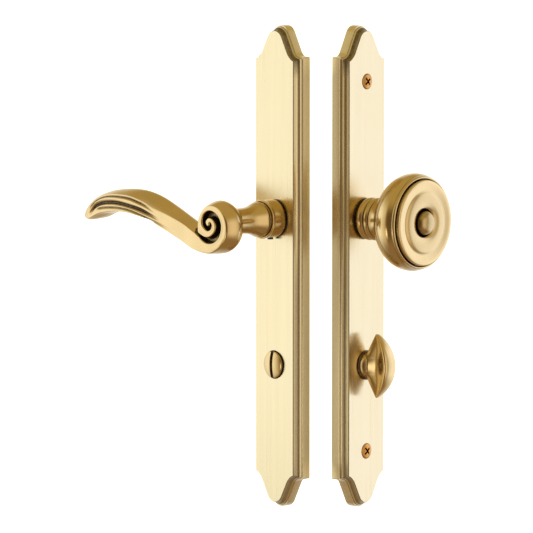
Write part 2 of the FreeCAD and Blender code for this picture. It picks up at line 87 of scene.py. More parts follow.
def curve_of(table, col, x):
    """Smooth column of a table over its first column."""
    t = np.asarray(table, float)
    order = np.argsort(t[:, 0])
    t = t[order]
    s = spline(np.stack([t[:, 0], t[:, col]], 1), 16)
    return np.interp(x, s[:, 0], s[:, 1])


def to_polyline(pu, pv, line):
    """Distance from each point to a polyline, and the length along it of the nearest point."""
    line = np.asarray(line, float)
    best = np.full(pu.shape, 1e9)
    along = np.zeros(pu.shape)
    run = 0.0
    for a, b in zip(line[:-1], line[1:]):
        d = b - a
        n2 = d @ d
        if n2 < 1e-12:
            continue
        t = np.clip(((pu - a[0]) * d[0] + (pv - a[1]) * d[1]) / n2, 0, 1)
        q = (pu - a[0] - t * d[0]) ** 2 + (pv - a[1] - t * d[1]) ** 2
        m = q < best
        best = np.where(m, q, best)
        along = np.where(m, run + t * math.sqrt(n2), along)
        run += math.sqrt(n2)
    return np.sqrt(best), along


def polygon_distance(px, py, poly):
    """Signed distance to a closed polygon, negative inside."""
    d2 = np.full(px.shape, 1e9)
    inside = np.zeros(px.shape, bool)
    n = len(poly)
    for i in range(n):
        ax, ay = poly[i]
        bx, by = poly[(i + 1) % n]
        dx, dy = bx - ax, by - ay
        l2 = dx * dx + dy * dy
        if l2 < 1e-14:
            continue
        t = np.clip(((px - ax) * dx + (py - ay) * dy) / l2, 0, 1)
        d2 = np.minimum(d2, (px - ax - t * dx) ** 2 + (py - ay - t * dy) ** 2)
        if ay != by:
            cross = ((ay > py) != (by > py)) & (px < (bx - ax) * (py - ay) / (by - ay) + ax)
            inside ^= cross
    d = np.sqrt(d2)
    return np.where(inside, -d, d)


def rounded(poly, sigma, step=0.26):
    """A closed polygon resampled evenly, with its corners eased."""
    p = np.asarray(poly, float)
    q = np.vstack([p, p[:1]])
    s = np.concatenate([[0], np.cumsum(np.linalg.norm(np.diff(q, axis=0), axis=1))])
    n = max(48, int(s[-1] / step))
    x = np.linspace(0, s[-1], n, endpoint=False)
    r = np.stack([np.interp(x, s, q[:, 0]), np.interp(x, s, q[:, 1])], 1)
    w = int(math.ceil(3 * sigma / (s[-1] / n)))
    kern = np.exp(-0.5 * (np.arange(-w, w + 1) * (s[-1] / n) / sigma) ** 2)
    kern /= kern.sum()
    ext = np.vstack([r[-w:], r, r[:w]])
    return np.stack([np.convolve(ext[:, i], kern, "valid") for i in (0, 1)], 1)


def smin(a, b, k):
    h = np.clip(0.5 + 0.5 * (b - a) / k, 0, 1)
    return b * (1 - h) + a * h - k * h * (1 - h)


def smax(a, b, k):
    return -smin(-a, -b, k)


def step01(x, a, b):
    t = np.clip((x - a) / (b - a), 0, 1)
    return t * t * (3 - 2 * t)


# ---------------------------------------------------------------- surface of a sampled field
def sample(field, lo, h, pts):
    g = (pts - lo) / h
    i = np.clip(np.floor(g).astype(int), 0, np.array(field.shape) - 2)
    f = g - i
    out = 0.0
    for dx in (0, 1):
        for dy in (0, 1):
            for dz in (0, 1):
                w = ((f[:, 0] if dx else 1 - f[:, 0]) * (f[:, 1] if dy else 1 - f[:, 1])
                     * (f[:, 2] if dz else 1 - f[:, 2]))
                out = out + w * field[i[:, 0] + dx, i[:, 1] + dy, i[:, 2] + dz]
    return out


def surface(field, lo, h):
    """Quads of the zero surface of a field on a grid (negative inside), with normals."""
    lo = np.asarray(lo, float)
    ins = field < 0
    shape = np.array(field.shape) - 1
    acc = np.zeros(tuple(shape) + (3,))
    cnt = np.zeros(tuple(shape))
    crossings = []
    for ax in (0, 1, 2):
        a = [slice(None)] * 3
        b = [slice(None)] * 3
        a[ax], b[ax] = slice(0, -1), slice(1, None)
        cr = ins[tuple(a)] != ins[tuple(b)]
        idx = np.argwhere(cr)
        fa = field[tuple(a)][cr]
        fb = field[tuple(b)][cr]
        t = fa / (fa - fb)
        pos = idx.astype(float)
        pos[:, ax] += t
        o1, o2 = [x for x in (0, 1, 2) if x != ax]
        for s1 in (0, -1):
            for s2 in (0, -1):
                c = idx.copy()
                c[:, o1] += s1
                c[:, o2] += s2
                ok = np.all((c >= 0) & (c < shape), axis=1)
                np.add.at(acc, tuple(c[ok].T), pos[ok])
                np.add.at(cnt, tuple(c[ok].T), 1)
        crossings.append((o1, o2, idx))
    has = cnt > 0
    number = np.full(tuple(shape), -1, int)
    number[has] = np.arange(has.sum())
    verts = lo + h * acc[has] / cnt[has][:, None]
    quads = []
    for o1, o2, idx in crossings:
        ring = []
        for s1, s2 in ((-1, -1), (0, -1), (0, 0), (-1, 0)):
            c = idx.copy()
            c[:, o1] += s1
            c[:, o2] += s2
            ok = np.all((c >= 0) & (c < shape), axis=1)
            c = np.clip(c, 0, shape - 1)
            ring.append(np.where(ok, number[tuple(c.T)], -1))
        q = np.stack(ring, 1)
        quads.append(q[(q >= 0).all(1)])
    quads = np.vstack(quads)
    grad = np.stack(np.gradient(field, h), -1)

    def normal(p):
        g = np.stack([sample(grad[..., i], lo, h, p) for i in range(3)], 1)
        return g

    def settle(p):
        for _ in range(2):
            g = normal(p)
            f = sample(field, lo, h, p)
            p = p - np.clip(f / np.maximum((g * g).sum(1), 0.05), -0.4 * h, 0.4 * h)[:, None] * g
        return p

    verts = settle(verts)
    ends = np.vstack([quads[:, [0, 1]], quads[:, [1, 2]], quads[:, [2, 3]], quads[:, [3, 0]]])
    for _ in range(3):
        s = np.zeros_like(verts)
        c = np.zeros(len(verts))
        np.add.at(s, ends[:, 0], verts[ends[:, 1]])
        np.add.at(s, ends[:, 1], verts[ends[:, 0]])
        np.add.at(c, ends[:, 0], 1)
        np.add.at(c, ends[:, 1], 1)
        verts = settle(verts + 0.5 * (s / c[:, None] - verts))
    g = normal(verts)
    a, b, c, d = [verts[quads[:, i]] for i in range(4)]
    turned_in = (np.cross(c - a, d - b) * g[quads].sum(1)).sum(1) < 0
    quads[turned_in] = quads[turned_in][:, ::-1]
    return verts, quads, g / np.maximum(np.linalg.norm(g, axis=1), 1e-9)[:, None]


# ---------------------------------------------------------------- objects
def mesh_object(name, verts, faces, body, replaced=(), normals=None, sharp=30.0, patina_and_shade=None):
    """verts in millimetres in the row frame."""
    me = bpy.data.meshes.new(name)
    verts = np.asarray(verts, float) * MM
    if isinstance(faces, np.ndarray):
        n, k = faces.shape
        me.vertices.add(len(verts))
        me.vertices.foreach_set("co", verts.astype(np.float32).ravel())
        me.loops.add(n * k)
        me.loops.foreach_set("vertex_index", faces.astype(np.int32).ravel())
        me.polygons.add(n)
        me.polygons.foreach_set("loop_start", np.arange(0, n * k, k, dtype=np.int32))
        me.update(calc_edges=True)
    else:
        me.from_pydata([tuple(v) for v in verts], [], [list(f) for f in faces])
    me.validate()
    # per-vertex darkening: patina in recesses, plus painted shade in gaps, holes and creases and painted dark
    # reflections
    if patina_and_shade is not None:
        at = me.attributes.new("patina_and_shade", "FLOAT", "POINT")
        at.data.foreach_set("value", np.asarray(patina_and_shade, np.float32))
    ob = bpy.data.objects.new(name, me)
    bpy.context.scene.collection.objects.link(ob)
    me.polygons.foreach_set("use_smooth", np.ones(len(me.polygons), bool))
    if normals is not None:
        me.normals_split_custom_set_from_vertices([tuple(x) for x in normals])
    else:
        sharpen(me, sharp)
    if body:
        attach(ob, body)
    if replaced:
        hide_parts(*replaced)
    return ob


def sharpen(me, angle):
    bm = bmesh.new()
    bm.from_mesh(me)
    lim = math.radians(angle)
    for e in bm.edges:
        e.smooth = not (len(e.link_faces) != 2 or e.calc_face_angle(0) > lim)
    bm.to_mesh(me)
    bm.free()


def profile(items, k=10):
    """(r, n) points; a nested list is a smooth curve from the point before it."""
    out = []
    for it in items:
        if isinstance(it, tuple):
            out.append(it)
        else:
            out += [tuple(p) for p in spline([out[-1]] + it, k)[1:]]
    return out


def turned(prof, seg=160, u=0.0, v=0.0):
    """Closed turned surface about the n axis at (u, v). Local coordinates."""
    p = [q for i, q in enumerate(prof) if i == 0 or math.dist(q, prof[i - 1]) > 1e-6]
    if math.dist(p[0], p[-1]) < 1e-6:
        p = p[:-1]
    verts, rows = [], []
    for r, n in p:
        if r < 1e-6:
            rows.append([len(verts)] * seg)
            verts.append((u, v, n))
        else:
            rows.append(list(range(len(verts), len(verts) + seg)))
            verts += [(u + r * math.sin(2 * math.pi * i / seg), v + r * math.cos(2 * math.pi * i / seg), n)
                      for i in range(seg)]
    faces = []
    m = len(p)
    for j in range(m):
        a, b = rows[j], rows[(j + 1) % m]
        if p[j][0] < 1e-6 and p[(j + 1) % m][0] < 1e-6:
            continue
        for i in range(seg):
            k = (i + 1) % seg
            f = []
            for x in (a[i], a[k], b[k], b[i]):
                if x not in f:
                    f.append(x)
            if len(f) > 2:
                faces.append(f)
    area = sum(p[j][0] * p[(j + 1) % m][1] - p[(j + 1) % m][0] * p[j][1] for j in range(m))
    if area < 0:
        faces = [f[::-1] for f in faces]
    return np.array(verts), faces


def temp(verts, faces):
    me = bpy.data.meshes.new("tmp")
    me.from_pydata([tuple(x) for x in verts], [], [list(f) for f in faces])
    bm = bmesh.new()
    bm.from_mesh(me)
    bmesh.ops.recalc_face_normals(bm, faces=bm.faces)
    bm.to_mesh(me)
    bm.free()
    ob = bpy.data.objects.new("tmp", me)
    bpy.context.scene.collection.objects.link(ob)
    return ob


def joined(parts):
    verts, faces = [], []
    for v, f in parts:
        k = len(verts)
        verts += [tuple(x) for x in v]
        faces += [[i + k for i in g] for g in f]
    return temp(verts, faces)


def boolean(a, b, how):
    """a combined with b, both removed; returns the new object."""
    m = a.modifiers.new("b", "BOOLEAN")
    m.operation, m.object, m.solver = how, b, "EXACT"
    bpy.context.view_layer.update()
    me = bpy.data.meshes.new_from_object(a.evaluated_get(bpy.context.evaluated_depsgraph_get()))
    ob = bpy.data.objects.new("tmp", me)
    bpy.context.scene.collection.objects.link(ob)
    for o in (a, b):
        bpy.data.objects.remove(o)
    return ob


def cyl(u, v, n0, n1, r0, r1=None, seg=96):
    r1 = r0 if r1 is None else r1
    return turned([(0, n0), (r0, n0), (r1, n1), (0, n1)], seg, u, v)


def block(u0, u1, v0, v1, n0, n1, r=0.0, k=8):
    """Block with its edges along n rounded."""
    pts = []
    for cu, cv, a0 in ((u1 - r, v1 - r, 0), (u0 + r, v1 - r, 90), (u0 + r, v0 + r, 180), (u1 - r, v0 + r, 270)):
        for i in range(k + 1 if r else 1):
            a = math.radians(a0 + 90 * i / k)
            pts.append((cu + r * math.cos(a), cv + r * math.sin(a)))
    m = len(pts)
    verts = [(a, b, n0) for a, b in pts] + [(a, b, n1) for a, b in pts]
    faces = [list(range(m))[::-1], list(range(m, 2 * m))]
    faces += [[i, (i + 1) % m, m + (i + 1) % m, m + i] for i in range(m)]
    return np.array(verts), faces


def place(ob, name, where, body, replaced, sharp=25.0, patina_and_shade=None):
    """Finish a temporary object made in local coordinates."""
    me = ob.data
    co = np.array([v.co for v in me.vertices], float)
    faces = [list(p.vertices) for p in me.polygons]
    bpy.data.objects.remove(ob)
    return mesh_object(name, where(co), faces, body, replaced, sharp=sharp,
                       patina_and_shade=None if patina_and_shade is None else patina_and_shade(co))


# ---------------------------------------------------------------- materials
def material(name):
    m = bpy.data.materials.new(name)
    m.use_nodes = True
    nt = m.node_tree
    nt.nodes.clear()
    out = nt.nodes.new("ShaderNodeOutputMaterial")
    bs = nt.nodes.new("ShaderNodeBsdfPrincipled")
    nt.links.new(bs.outputs[0], out.inputs[0])
    return m, nt, bs


def noise(nt, scale, stretch, detail=3.0, rough=0.55):
    tc = nt.nodes.new("ShaderNodeTexCoord")
    mp = nt.nodes.new("ShaderNodeMapping")
    mp.inputs["Scale"].default_value = stretch
    nt.links.new(tc.outputs["Object"], mp.inputs["Vector"])
    ns = nt.nodes.new("ShaderNodeTexNoise")
    ns.inputs["Scale"].default_value = scale
    ns.inputs["Detail"].default_value = detail
    ns.inputs["Roughness"].default_value = rough
    nt.links.new(mp.outputs[0], ns.inputs["Vector"])
    return ns.outputs[0]


def remap(nt, x, a, b, c, d):
    r = nt.nodes.new("ShaderNodeMapRange")
    r.inputs["From Min"].default_value = a
    r.inputs["From Max"].default_value = b
    r.inputs["To Min"].default_value = c
    r.inputs["To Max"].default_value = d
    nt.links.new(x, r.inputs["Value"])
    return r.outputs[0]


def maths(nt, op, a, b):
    n = nt.nodes.new("ShaderNodeMath")
    n.operation = op
    for i, x in enumerate((a, b)):
        if isinstance(x, (int, float)):
            n.inputs[i].default_value = x
        else:
            nt.links.new(x, n.inputs[i])
    return n.outputs[0]


def mix(nt, f, a, b):
    n = nt.nodes.new("ShaderNodeMix")
    n.data_type = "RGBA"
    if isinstance(f, (int, float)):
        n.inputs[0].default_value = f
    else:
        nt.links.new(f, n.inputs[0])
    for i, x in ((6, a), (7, b)):
        if isinstance(x, tuple):
            n.inputs[i].default_value = x + (1.0,)
        else:
            nt.links.new(x, n.inputs[i])
    return n.outputs[2]


def metal(name, colour, dark, rough, grain=None, aniso=0.0, coat=0.0, spots=0.06, bump=0.15, patina_and_shade=True,
          tangent=None, blotch=60.0):
    """grain is the stretch of the fine scratches, in cycles per metre along x, y, z."""
    m, nt, bs = material(name)
    bs.inputs["Metallic"].default_value = 1.0
    blot = noise(nt, blotch, (1, 1, 1), 4.0, 0.6)
    tone = remap(nt, blot, 0.3, 0.7, 1.0 - spots, 1.0 + spots)
    hs = nt.nodes.new("ShaderNodeHueSaturation")
    hs.inputs["Color"].default_value = colour + (1.0,)
    nt.links.new(tone, hs.inputs["Value"])
    col = hs.outputs[0]
    rgh = remap(nt, blot, 0.3, 0.7, rough * 0.92, rough * 1.08)
    # mix in the dark colour: patina in recesses, plus painted shade and painted dark reflections where the parts ask
    # for it
    if patina_and_shade:
        at = nt.nodes.new("ShaderNodeAttribute")
        at.attribute_name = "patina_and_shade"
        fine = noise(nt, 900.0, (1, 1, 1), 2.0)
        p = maths(nt, "MULTIPLY", at.outputs["Fac"], remap(nt, fine, 0.3, 0.7, 0.82, 1.1))
        cl = nt.nodes.new("ShaderNodeClamp")
        nt.links.new(p, cl.inputs[0])
        col = mix(nt, cl.outputs[0], col, dark)
        rgh = maths(nt, "ADD", rgh, maths(nt, "MULTIPLY", cl.outputs[0], 0.22))
    nt.links.new(col, bs.inputs["Base Color"])
    if grain:
        sc = noise(nt, 1.0, grain, 2.0, 0.7)
        rgh = maths(nt, "ADD", rgh, remap(nt, sc, 0.25, 0.75, -0.035, 0.035))
        bp = nt.nodes.new("ShaderNodeBump")
        bp.inputs["Strength"].default_value = bump
        bp.inputs["Distance"].default_value = 0.00004
        nt.links.new(sc, bp.inputs["Height"])
        nt.links.new(bp.outputs[0], bs.inputs["Normal"])
    nt.links.new(rgh, bs.inputs["Roughness"])
    if aniso:
        bs.inputs["Anisotropic"].default_value = aniso
        if tangent is not None:
            cx = nt.nodes.new("ShaderNodeCombineXYZ")
            for i in range(3):
                cx.inputs[i].default_value = tangent[i]
            nt.links.new(cx.outputs[0], bs.inputs["Tangent"])
    if coat:
        bs.inputs["Coat Weight"].default_value = coat
        bs.inputs["Coat Roughness"].default_value = 0.2
    return m


# colour is the bright metal, dark the colour mixed in per vertex: patina left in the recesses, and also painted shade
# in gaps, holes and creases and painted dark reflections along edges
BRASS = (0.86, 0.745, 0.45)
BROWN = (0.075, 0.040, 0.0085)
DEEP = (0.06, 0.033, 0.013)
MAT = {
    "plate_o": metal("plate_brass_outer", BRASS, BROWN, 0.25, (1100, 1100, 7), 0.7, 0.35, 0.015, 0.08,
                     tangent=(1.0, 0.0, 0.0), blotch=25.0),
    "plate_i": metal("plate_brass_inner", BRASS, BROWN, 0.25, (1100, 1100, 7), 0.7, 0.35, 0.015, 0.08,
                     tangent=(math.cos(V_ANGLE), math.sin(V_ANGLE), 0.0), blotch=25.0),
    "handle": metal("handle_brass", (0.745, 0.56, 0.255), DEEP, 0.19, (1500, 1500, 1500), 0.0, 0.3, 0.05, 0.10),
    "screw": metal("screw_brass", (0.62, 0.30, 0.07), (0.03, 0.018, 0.008), 0.25, (2400, 2400, 2400), 0.0, 0.0,
                   0.12, 0.3),
    "set_screw": metal("set_screw_steel", (0.05, 0.075, 0.13), (0.01, 0.01, 0.012), 0.28, (3000, 3000, 3000), 0.0,
                       0.2, 0.15, 0.3, False),
    "bronze": metal("bush_bronze", (0.55, 0.36, 0.17), BROWN, 0.33, (2500, 2500, 2500), 0.0, 0.0, 0.1, 0.3, False),
    "steel": metal("zinc_steel", (0.56, 0.56, 0.55), (0.1, 0.1, 0.1), 0.32, (2200, 2200, 2200), 0.0, 0.0, 0.08,
                   0.3, False),
    "spring": metal("spring_steel", (0.34, 0.34, 0.35), (0.1, 0.1, 0.1), 0.26, (2600, 2600, 2600), 0.0, 0.0, 0.08,
                    0.3, False),
}


def paint(ob, key):
    ob.data.materials.clear()
    ob.data.materials.append(MAT[key])
    return ob


# ---------------------------------------------------------------- lever
# u, top v, top n, upper edge of the front v, lower ridge v, lowest v, front n, back n
ARM = [
    (9.0, -7.4, 52.8, -8.2, -9.9, -10.3, 58.6, 52.0),
    (7.0, -9.0, 52.8, -10.0, -12.9, -13.4, 58.8, 51.6),
    (4.0, -10.0, 52.6, -11.6, -15.3, -15.9, 58.95, 51.0),
    (0.0, -9.8, 52.3, -11.7, -17.1, -17.7, 59.0, 50.0),
    (-4.0, -9.0, 52.0, -11.0, -17.8, -18.4, 59.0, 48.6),
    (-12.0, -6.0, 51.0, -8.0, -17.3, -18.1, 58.8, 47.0),
    (-21.0, -1.6, 50.2, -4.5, -15.2, -16.0, 58.3, 46.0),
    (-25.3, 0.2, 50.1, -2.8, -13.6, -14.4, 57.9, 45.7),
    (-34.6, 4.1, 50.0, -0.1, -10.3, -11.1, 57.4, 45.3),
    (-44.0, 7.9, 49.9, 2.2, -7.1, -7.9, 57.2, 45.0),
    (-50.2, 10.2, 49.8, 3.5, -5.1, -5.9, 57.2, 44.9),
    (-56.5, 12.1, 49.7, 5.0, -3.0, -4.0, 57.2, 44.8),
    (-66.0, 13.9, 49.6, 6.9, -1.1, -2.2, 57.1, 44.6),
    (-75.7, 14.4, 49.5, 9.0, 0.3, -0.8, 57.0, 44.5),
    (-84.8, 13.9, 49.5, 9.5, 0.7, 0.2, 56.7, 44.6),
    (-93.0, 12.9, 49.6, 9.2, 0.1, -0.2, 56.3, 45.0),
    (-98.0, 11.9, 49.7, 8.5, -0.6, -1.9, 55.9, 45.4),
    (-103.0, 10.5, 49.9, 7.4, -1.5, -4.0, 55.4, 45.9),
    (-109.0, 8.2, 50.2, 5.4, -3.2, -5.5, 54.7, 46.7),
    (-114.0, 5.6, 50.4, 2.6, -5.1, -6.4, 53.8, 47.7),
    (-118.0, 2.8, 50.6, -0.6, -6.1, -6.9, 52.9, 48.6),
    (-121.0, -0.2, 50.7, -3.4, -5.9, -6.6, 52.0, 49.4),
    (-122.9, -3.2, 50.8, -4.6, -5.2, -5.6, 51.4, 50.2),
]
FLUTES = [
    # line, half width, depth, lengths at each end over which it fades, and how much darker it is made (patina and
    # painted shade)
    ([(-119.6, -5.2), (-118.2, -3.0), (-114.7, 0.9), (-112.2, 3.2), (-108.2, 5.7), (-100.7, 8.1), (-92.2, 9.2),
      (-84.8, 9.4), (-75.6, 8.9), (-69.2, 7.6), (-62.8, 6.1), (-56.5, 4.0), (-50.2, 1.6), (-45.2, -0.3)],
     0.66, 1.1, 12.0, 24.0, 0.85),
    ([(-117.2, -5.3), (-116.2, -4.0), (-114.2, -1.8), (-110.6, 1.4), (-104.4, 4.0), (-97.2, 5.2), (-90.2, 5.6),
      (-84.8, 5.4), (-78.9, 4.8), (-72.5, 4.0), (-66.1, 2.9), (-59.7, 1.3), (-53.4, -0.3), (-47.0, -2.2),
      (-42.0, -4.0)],
     1.2, 2.1, 10.0, 24.0, 1.0),
    ([(-112.5, -2.0), (-109.4, -0.3), (-102.9, 1.4), (-95.8, 2.3), (-88.9, 2.7), (-82.2, 2.7), (-75.7, 2.1),
      (-69.3, 0.8), (-62.9, -0.6), (-56.5, -2.0), (-50.2, -3.6), (-44.0, -5.3), (-37.7, -7.2), (-31.6, -9.2), (-27.0, -10.6)],
     0.72, 1.1, 9.0, 34.0, 0.8),
]
SCROLL = [(-17.4, -4.0), (-15.3, -5.4), (-13.1, -6.8), (-10.8, -7.9), (-7.9, -9.2), (-4.7, -10.0), (-1.3, -9.7),
          (1.5, -8.4), (3.9, -6.2), (5.1, -3.5), (5.4, -1.1), (4.6, 1.3), (3.1, 3.1), (0.6, 4.6), (-2.0, 5.1),
          (-4.5, 4.4), (-6.2, 3.0), (-7.1, 0.8), (-6.8, -1.0), (-5.7, -2.2), (-4.3, -3.1), (-3.1, -3.1),
          (-1.8, -2.1), (-1.4, -0.9), (-1.8, -0.1)]
SCROLL_W = [0.25, 0.8, 1.0, 1.08, 1.25, 1.65, 2.0, 2.25, 2.35, 2.4, 2.4, 2.45, 2.4, 2.25, 2.1, 1.95, 1.85, 1.7, 1.6,
            1.45, 1.35, 1.35, 1.3, 1.1, 0.7]


def arm_polygon(u):
    vt, nt, e, b, vb, nf, nb = [float(curve_of(ARM, i, u)) for i in range(1, 8)]
    pts = []
    mid, half = 0.5 * (e + b), max(0.5 * (e - b), 0.3)
    for i in range(13):
        v = b + (e - b) * i / 12
        pts.append((v, nf - 0.2 * ((v - mid) / half) ** 2))
    ne = nf - 0.2
    for i in range(1, 17):
        a = 0.5 * math.pi * i / 16
        pts.append((e + (vt - e) * math.sin(a), ne - (ne - nt) * (0.52 * math.sin(a) + 0.48 * (1 - math.cos(a)))))
    hb = 0.42 * (vt - vb)
    for i in range(1, 13):
        a = 0.5 * math.pi * i / 12
        pts.append((vt - hb * (1 - math.cos(a)), nt - (nt - nb) * math.sin(a)))
    hl = 0.22 * (vt - vb)
    dl = 0.34 * (nf - nb)
    for i in range(0, 9):
        a = 0.5 * math.pi * i / 8
        pts.append((vb + hl * (1 - math.sin(a)), nb + dl * (1 - math.cos(a))))
    pts.append((vb + 0.25 * (b - vb), nb + 0.62 * (nf - nb)))
    pts.append((b - 0.05, nf - 1.0))
    return np.array(pts)


def lever_field(h):
    lo = np.array([-125.2, -20.4, 4.0])
    hi = np.array([17.0, 16.6, 60.6])
    n = np.ceil((hi - lo) / h).astype(int) + 1
    u, v, w = [lo[i] + h * np.arange(n[i]) for i in range(3)]
    V, W = np.meshgrid(v, w, indexing="ij")
    arm = np.full(tuple(n), 6.0)
    for i, x in enumerate(u):
        if -123.4 <= x <= 10.0:
            poly = rounded(arm_polygon(min(max(x, -122.9), 9.0)), 0.45)
            m = ((V > poly[:, 0].min() - 4) & (V < poly[:, 0].max() + 4)
                 & (W > poly[:, 1].min() - 4) & (W < poly[:, 1].max() + 4))
            d = np.full(V.shape, 6.0)
            d[m] = polygon_distance(V[m], W[m], poly)
            arm[i] = d
    U3, V3, W3 = np.meshgrid(u, v, w, indexing="ij")
    arm = smax(arm, -123.3 - U3, 1.6)
    arm = smax(arm, U3 - 9.0, 1.0)
    U2, V2 = U3[:, :, 0], V3[:, :, 0]
    # flutes
    cut = np.zeros(U2.shape)
    # how much darker each flute is made: patina and painted shade
    flute_dark = np.zeros(U2.shape)
    for line, width, depth, fade0, fade1, dark in FLUTES:
        ln = spline(line, 8)
        d, s = to_polyline(U2, V2, ln)
        total = np.linalg.norm(np.diff(ln, axis=0), axis=1).sum()
        k = step01(s, 0, fade0) * step01(total - s, 0, fade1)
        g = k * np.exp(-(d / (width * (0.4 + 0.6 * k))) ** 2)
        cut = np.maximum(cut, depth * g)
        flute_dark = np.maximum(flute_dark, dark * g)
    front = curve_of(ARM, 6, np.clip(u, -122.9, 9.0))[:, None, None]
    arm = arm + cut[:, :, None] * step01(W3, front - 5.5, front - 2.5)

    # turned collar, neck and drum, from one radius table each
    rad = np.hypot(U3, V3)
    col = profile([(10.9, 10.9), (10.9, 11.9), (11.1, 11.95), (11.2, 12.3), (11.12, 16.0), (11.0, 19.4), (11.06, 19.65),
                   (11.42, 20.85), (11.4, 21.2), (11.2, 21.5), (10.45, 21.55), (10.3, 21.1), (9.2, 21.1), (9.0, 21.6),
                   (9.0, 22.4), (9.4, 22.9), (10.1, 23.1), (10.35, 23.35), (10.42, 23.8),
                   [(10.25, 24.7), (9.4, 27.0), (8.2, 30.4), (7.65, 34.5), (7.6, 39.0), (7.75, 43.5)],
                   (7.8, 52.0), (0, 52.0), (0, 4.8), (7.05, 4.8), (7.45, 5.1), (7.45, 5.2), (6.7, 5.2), (6.7, 6.1),
                   (7.45, 6.1), (7.45, 10.9)], 8)
    fine = 0.2
    rr = np.arange(0, 40, fine)
    ww = np.arange(2, 62, fine)
    R2, Z2 = np.meshgrid(rr, ww, indexing="ij")
    tab = polygon_distance(R2, Z2, np.array(col))
    dpro = profile([(0, 42.8), (7.6, 42.8), [(9.3, 43.4), (11.7, 45.1), (13.6, 47.1), (14.8, 49.2), (15.35, 51.4),
                                             (15.1, 53.3), (14.5, 55.2), (13.7, 57.0), (13.05, 58.2)],
                    (12.8, 58.55), (12.4, 58.83), (11.9, 58.97), (11.3, 59.0), (0, 59.0)], 10)
    tab2 = polygon_distance(R2, Z2, np.array(dpro))

    def look(t, r):
        g = np.stack([r.ravel() / fine, (W3.ravel() - 2) / fine], 1)
        i = np.clip(g.astype(int), 0, np.array(t.shape) - 2)
        f = g - i
        a = t[i[:, 0], i[:, 1]] * (1 - f[:, 0]) + t[i[:, 0] + 1, i[:, 1]] * f[:, 0]
        b = t[i[:, 0], i[:, 1] + 1] * (1 - f[:, 0]) + t[i[:, 0] + 1, i[:, 1] + 1] * f[:, 0]
        return (a * (1 - f[:, 1]) + b * f[:, 1]).reshape(r.shape)

    body = look(tab, rad)
    drum = look(tab2, np.hypot(U3, V3 + 2.4))
    hand = smin(drum, arm, 1.3)
    full = np.where(W3 > 40, smin(body, hand, 1.4), np.minimum(body, hand))

    # the groove of the scroll
    ln = spline(SCROLL, 8)
    d, s = to_polyline(U2, V2, ln)
    total = np.linalg.norm(np.diff(ln, axis=0), axis=1).sum()
    knots = np.concatenate([[0], np.cumsum(np.linalg.norm(np.diff(np.array(SCROLL), axis=0), axis=1))])
    half = np.interp(s, knots * total / knots[-1], SCROLL_W)
    deep = np.interp(s, [0, 3, 6, 12, total], [1.6, 3.0, 3.9, 4.2, 4.2])
    floor = 58.9 - deep
    lip = 0.16 * np.exp(-((d - half - 0.75) / 0.6) ** 2) * (np.hypot(U2, V2 + 2.4) < 13.0)
    full = full - lip[:, :, None] * step01(W3, 56.8, 58.4)
    g = np.maximum((d - half)[:, :, None] + 0.16 * (58.9 - W3), (floor[:, :, None] - W3) + 0.0 * W3)
    full = smax(full, -g, 0.55)
    # square hole and set screw hole
    sq = np.maximum(np.maximum(np.abs(U3), np.abs(V3)) - 4.0, W3 - 31.0)
    full = np.maximum(full, -sq)
    hole = np.maximum(np.hypot(U3, W3 - 13.6) - 1.75, V3 + 3.0)
    full = np.maximum(full, -hole)
    shade = {"flute_dark": flute_dark, "d": d, "half": half, "u": u, "v": v}
    return full, lo, shade


def lever():
    h = 0.41
    field, lo, sh = lever_field(h)
    verts, quads, nor = surface(field, lo, h)

    def at2(a, p):
        i = np.clip(((p[:, 0] - lo[0]) / h), 0, a.shape[0] - 1.001)
        j = np.clip(((p[:, 1] - lo[1]) / h), 0, a.shape[1] - 1.001)
        i0, j0 = i.astype(int), j.astype(int)
        fi, fj = i - i0, j - j0
        return ((a[i0, j0] * (1 - fi) + a[i0 + 1, j0] * fi) * (1 - fj)
                + (a[i0, j0 + 1] * (1 - fi) + a[i0 + 1, j0 + 1] * fi) * fj)

    front = curve_of(ARM, 6, np.clip(verts[:, 0], -122.9, 9.0))
    # darker along the flutes: patina and painted shade
    dark_amount = step01(at2(sh["flute_dark"], verts), 0.22, 0.85) * (verts[:, 2] > front - 4.5)
    # scroll groove darker with depth and lighter along the middle of its floor: patina and painted shade
    inside = (at2(sh["d"], verts) - at2(sh["half"], verts) < 0.3) & (verts[:, 2] < 58.7) & (verts[:, 2] > 53.5)
    deep = np.clip((58.75 - verts[:, 2]) / 1.0, 0, 1)
    mid = np.exp(-(at2(sh["d"], verts) / (0.4 * at2(sh["half"], verts) + 0.05)) ** 2)
    dark_amount = np.maximum(dark_amount, np.where(inside, deep * (1 - 0.28 * mid), 0))
    rad = np.hypot(verts[:, 0], verts[:, 1])
    # painted shade in the narrow groove behind the collar's lip
    dark_amount = np.maximum(dark_amount, 0.95 * np.exp(-((verts[:, 2] - 22.2) / 0.85) ** 4) * (rad < 10.2))
    # painted shadow in the gap between the collar and the plate
    dark_amount = np.maximum(dark_amount, 1.0 * (1 - step01(verts[:, 2], 11.85, 12.1)) * (verts[:, 2] > 9))
    # patina and painted shade in the crease where the drum meets the neck
    dark_amount = np.maximum(dark_amount, 0.35 * np.exp(-((verts[:, 2] - 43.2) / 1.3) ** 2) * (np.hypot(verts[:, 0], verts[:, 1]) < 9.5))
    p3 = outer(verts)
    n3 = outer(nor)
    ob = mesh_object("lever_handle", p3, quads, "lever_set", ("lever",), normals=n3,
                     patina_and_shade=dark_amount)
    paint(ob, "handle")


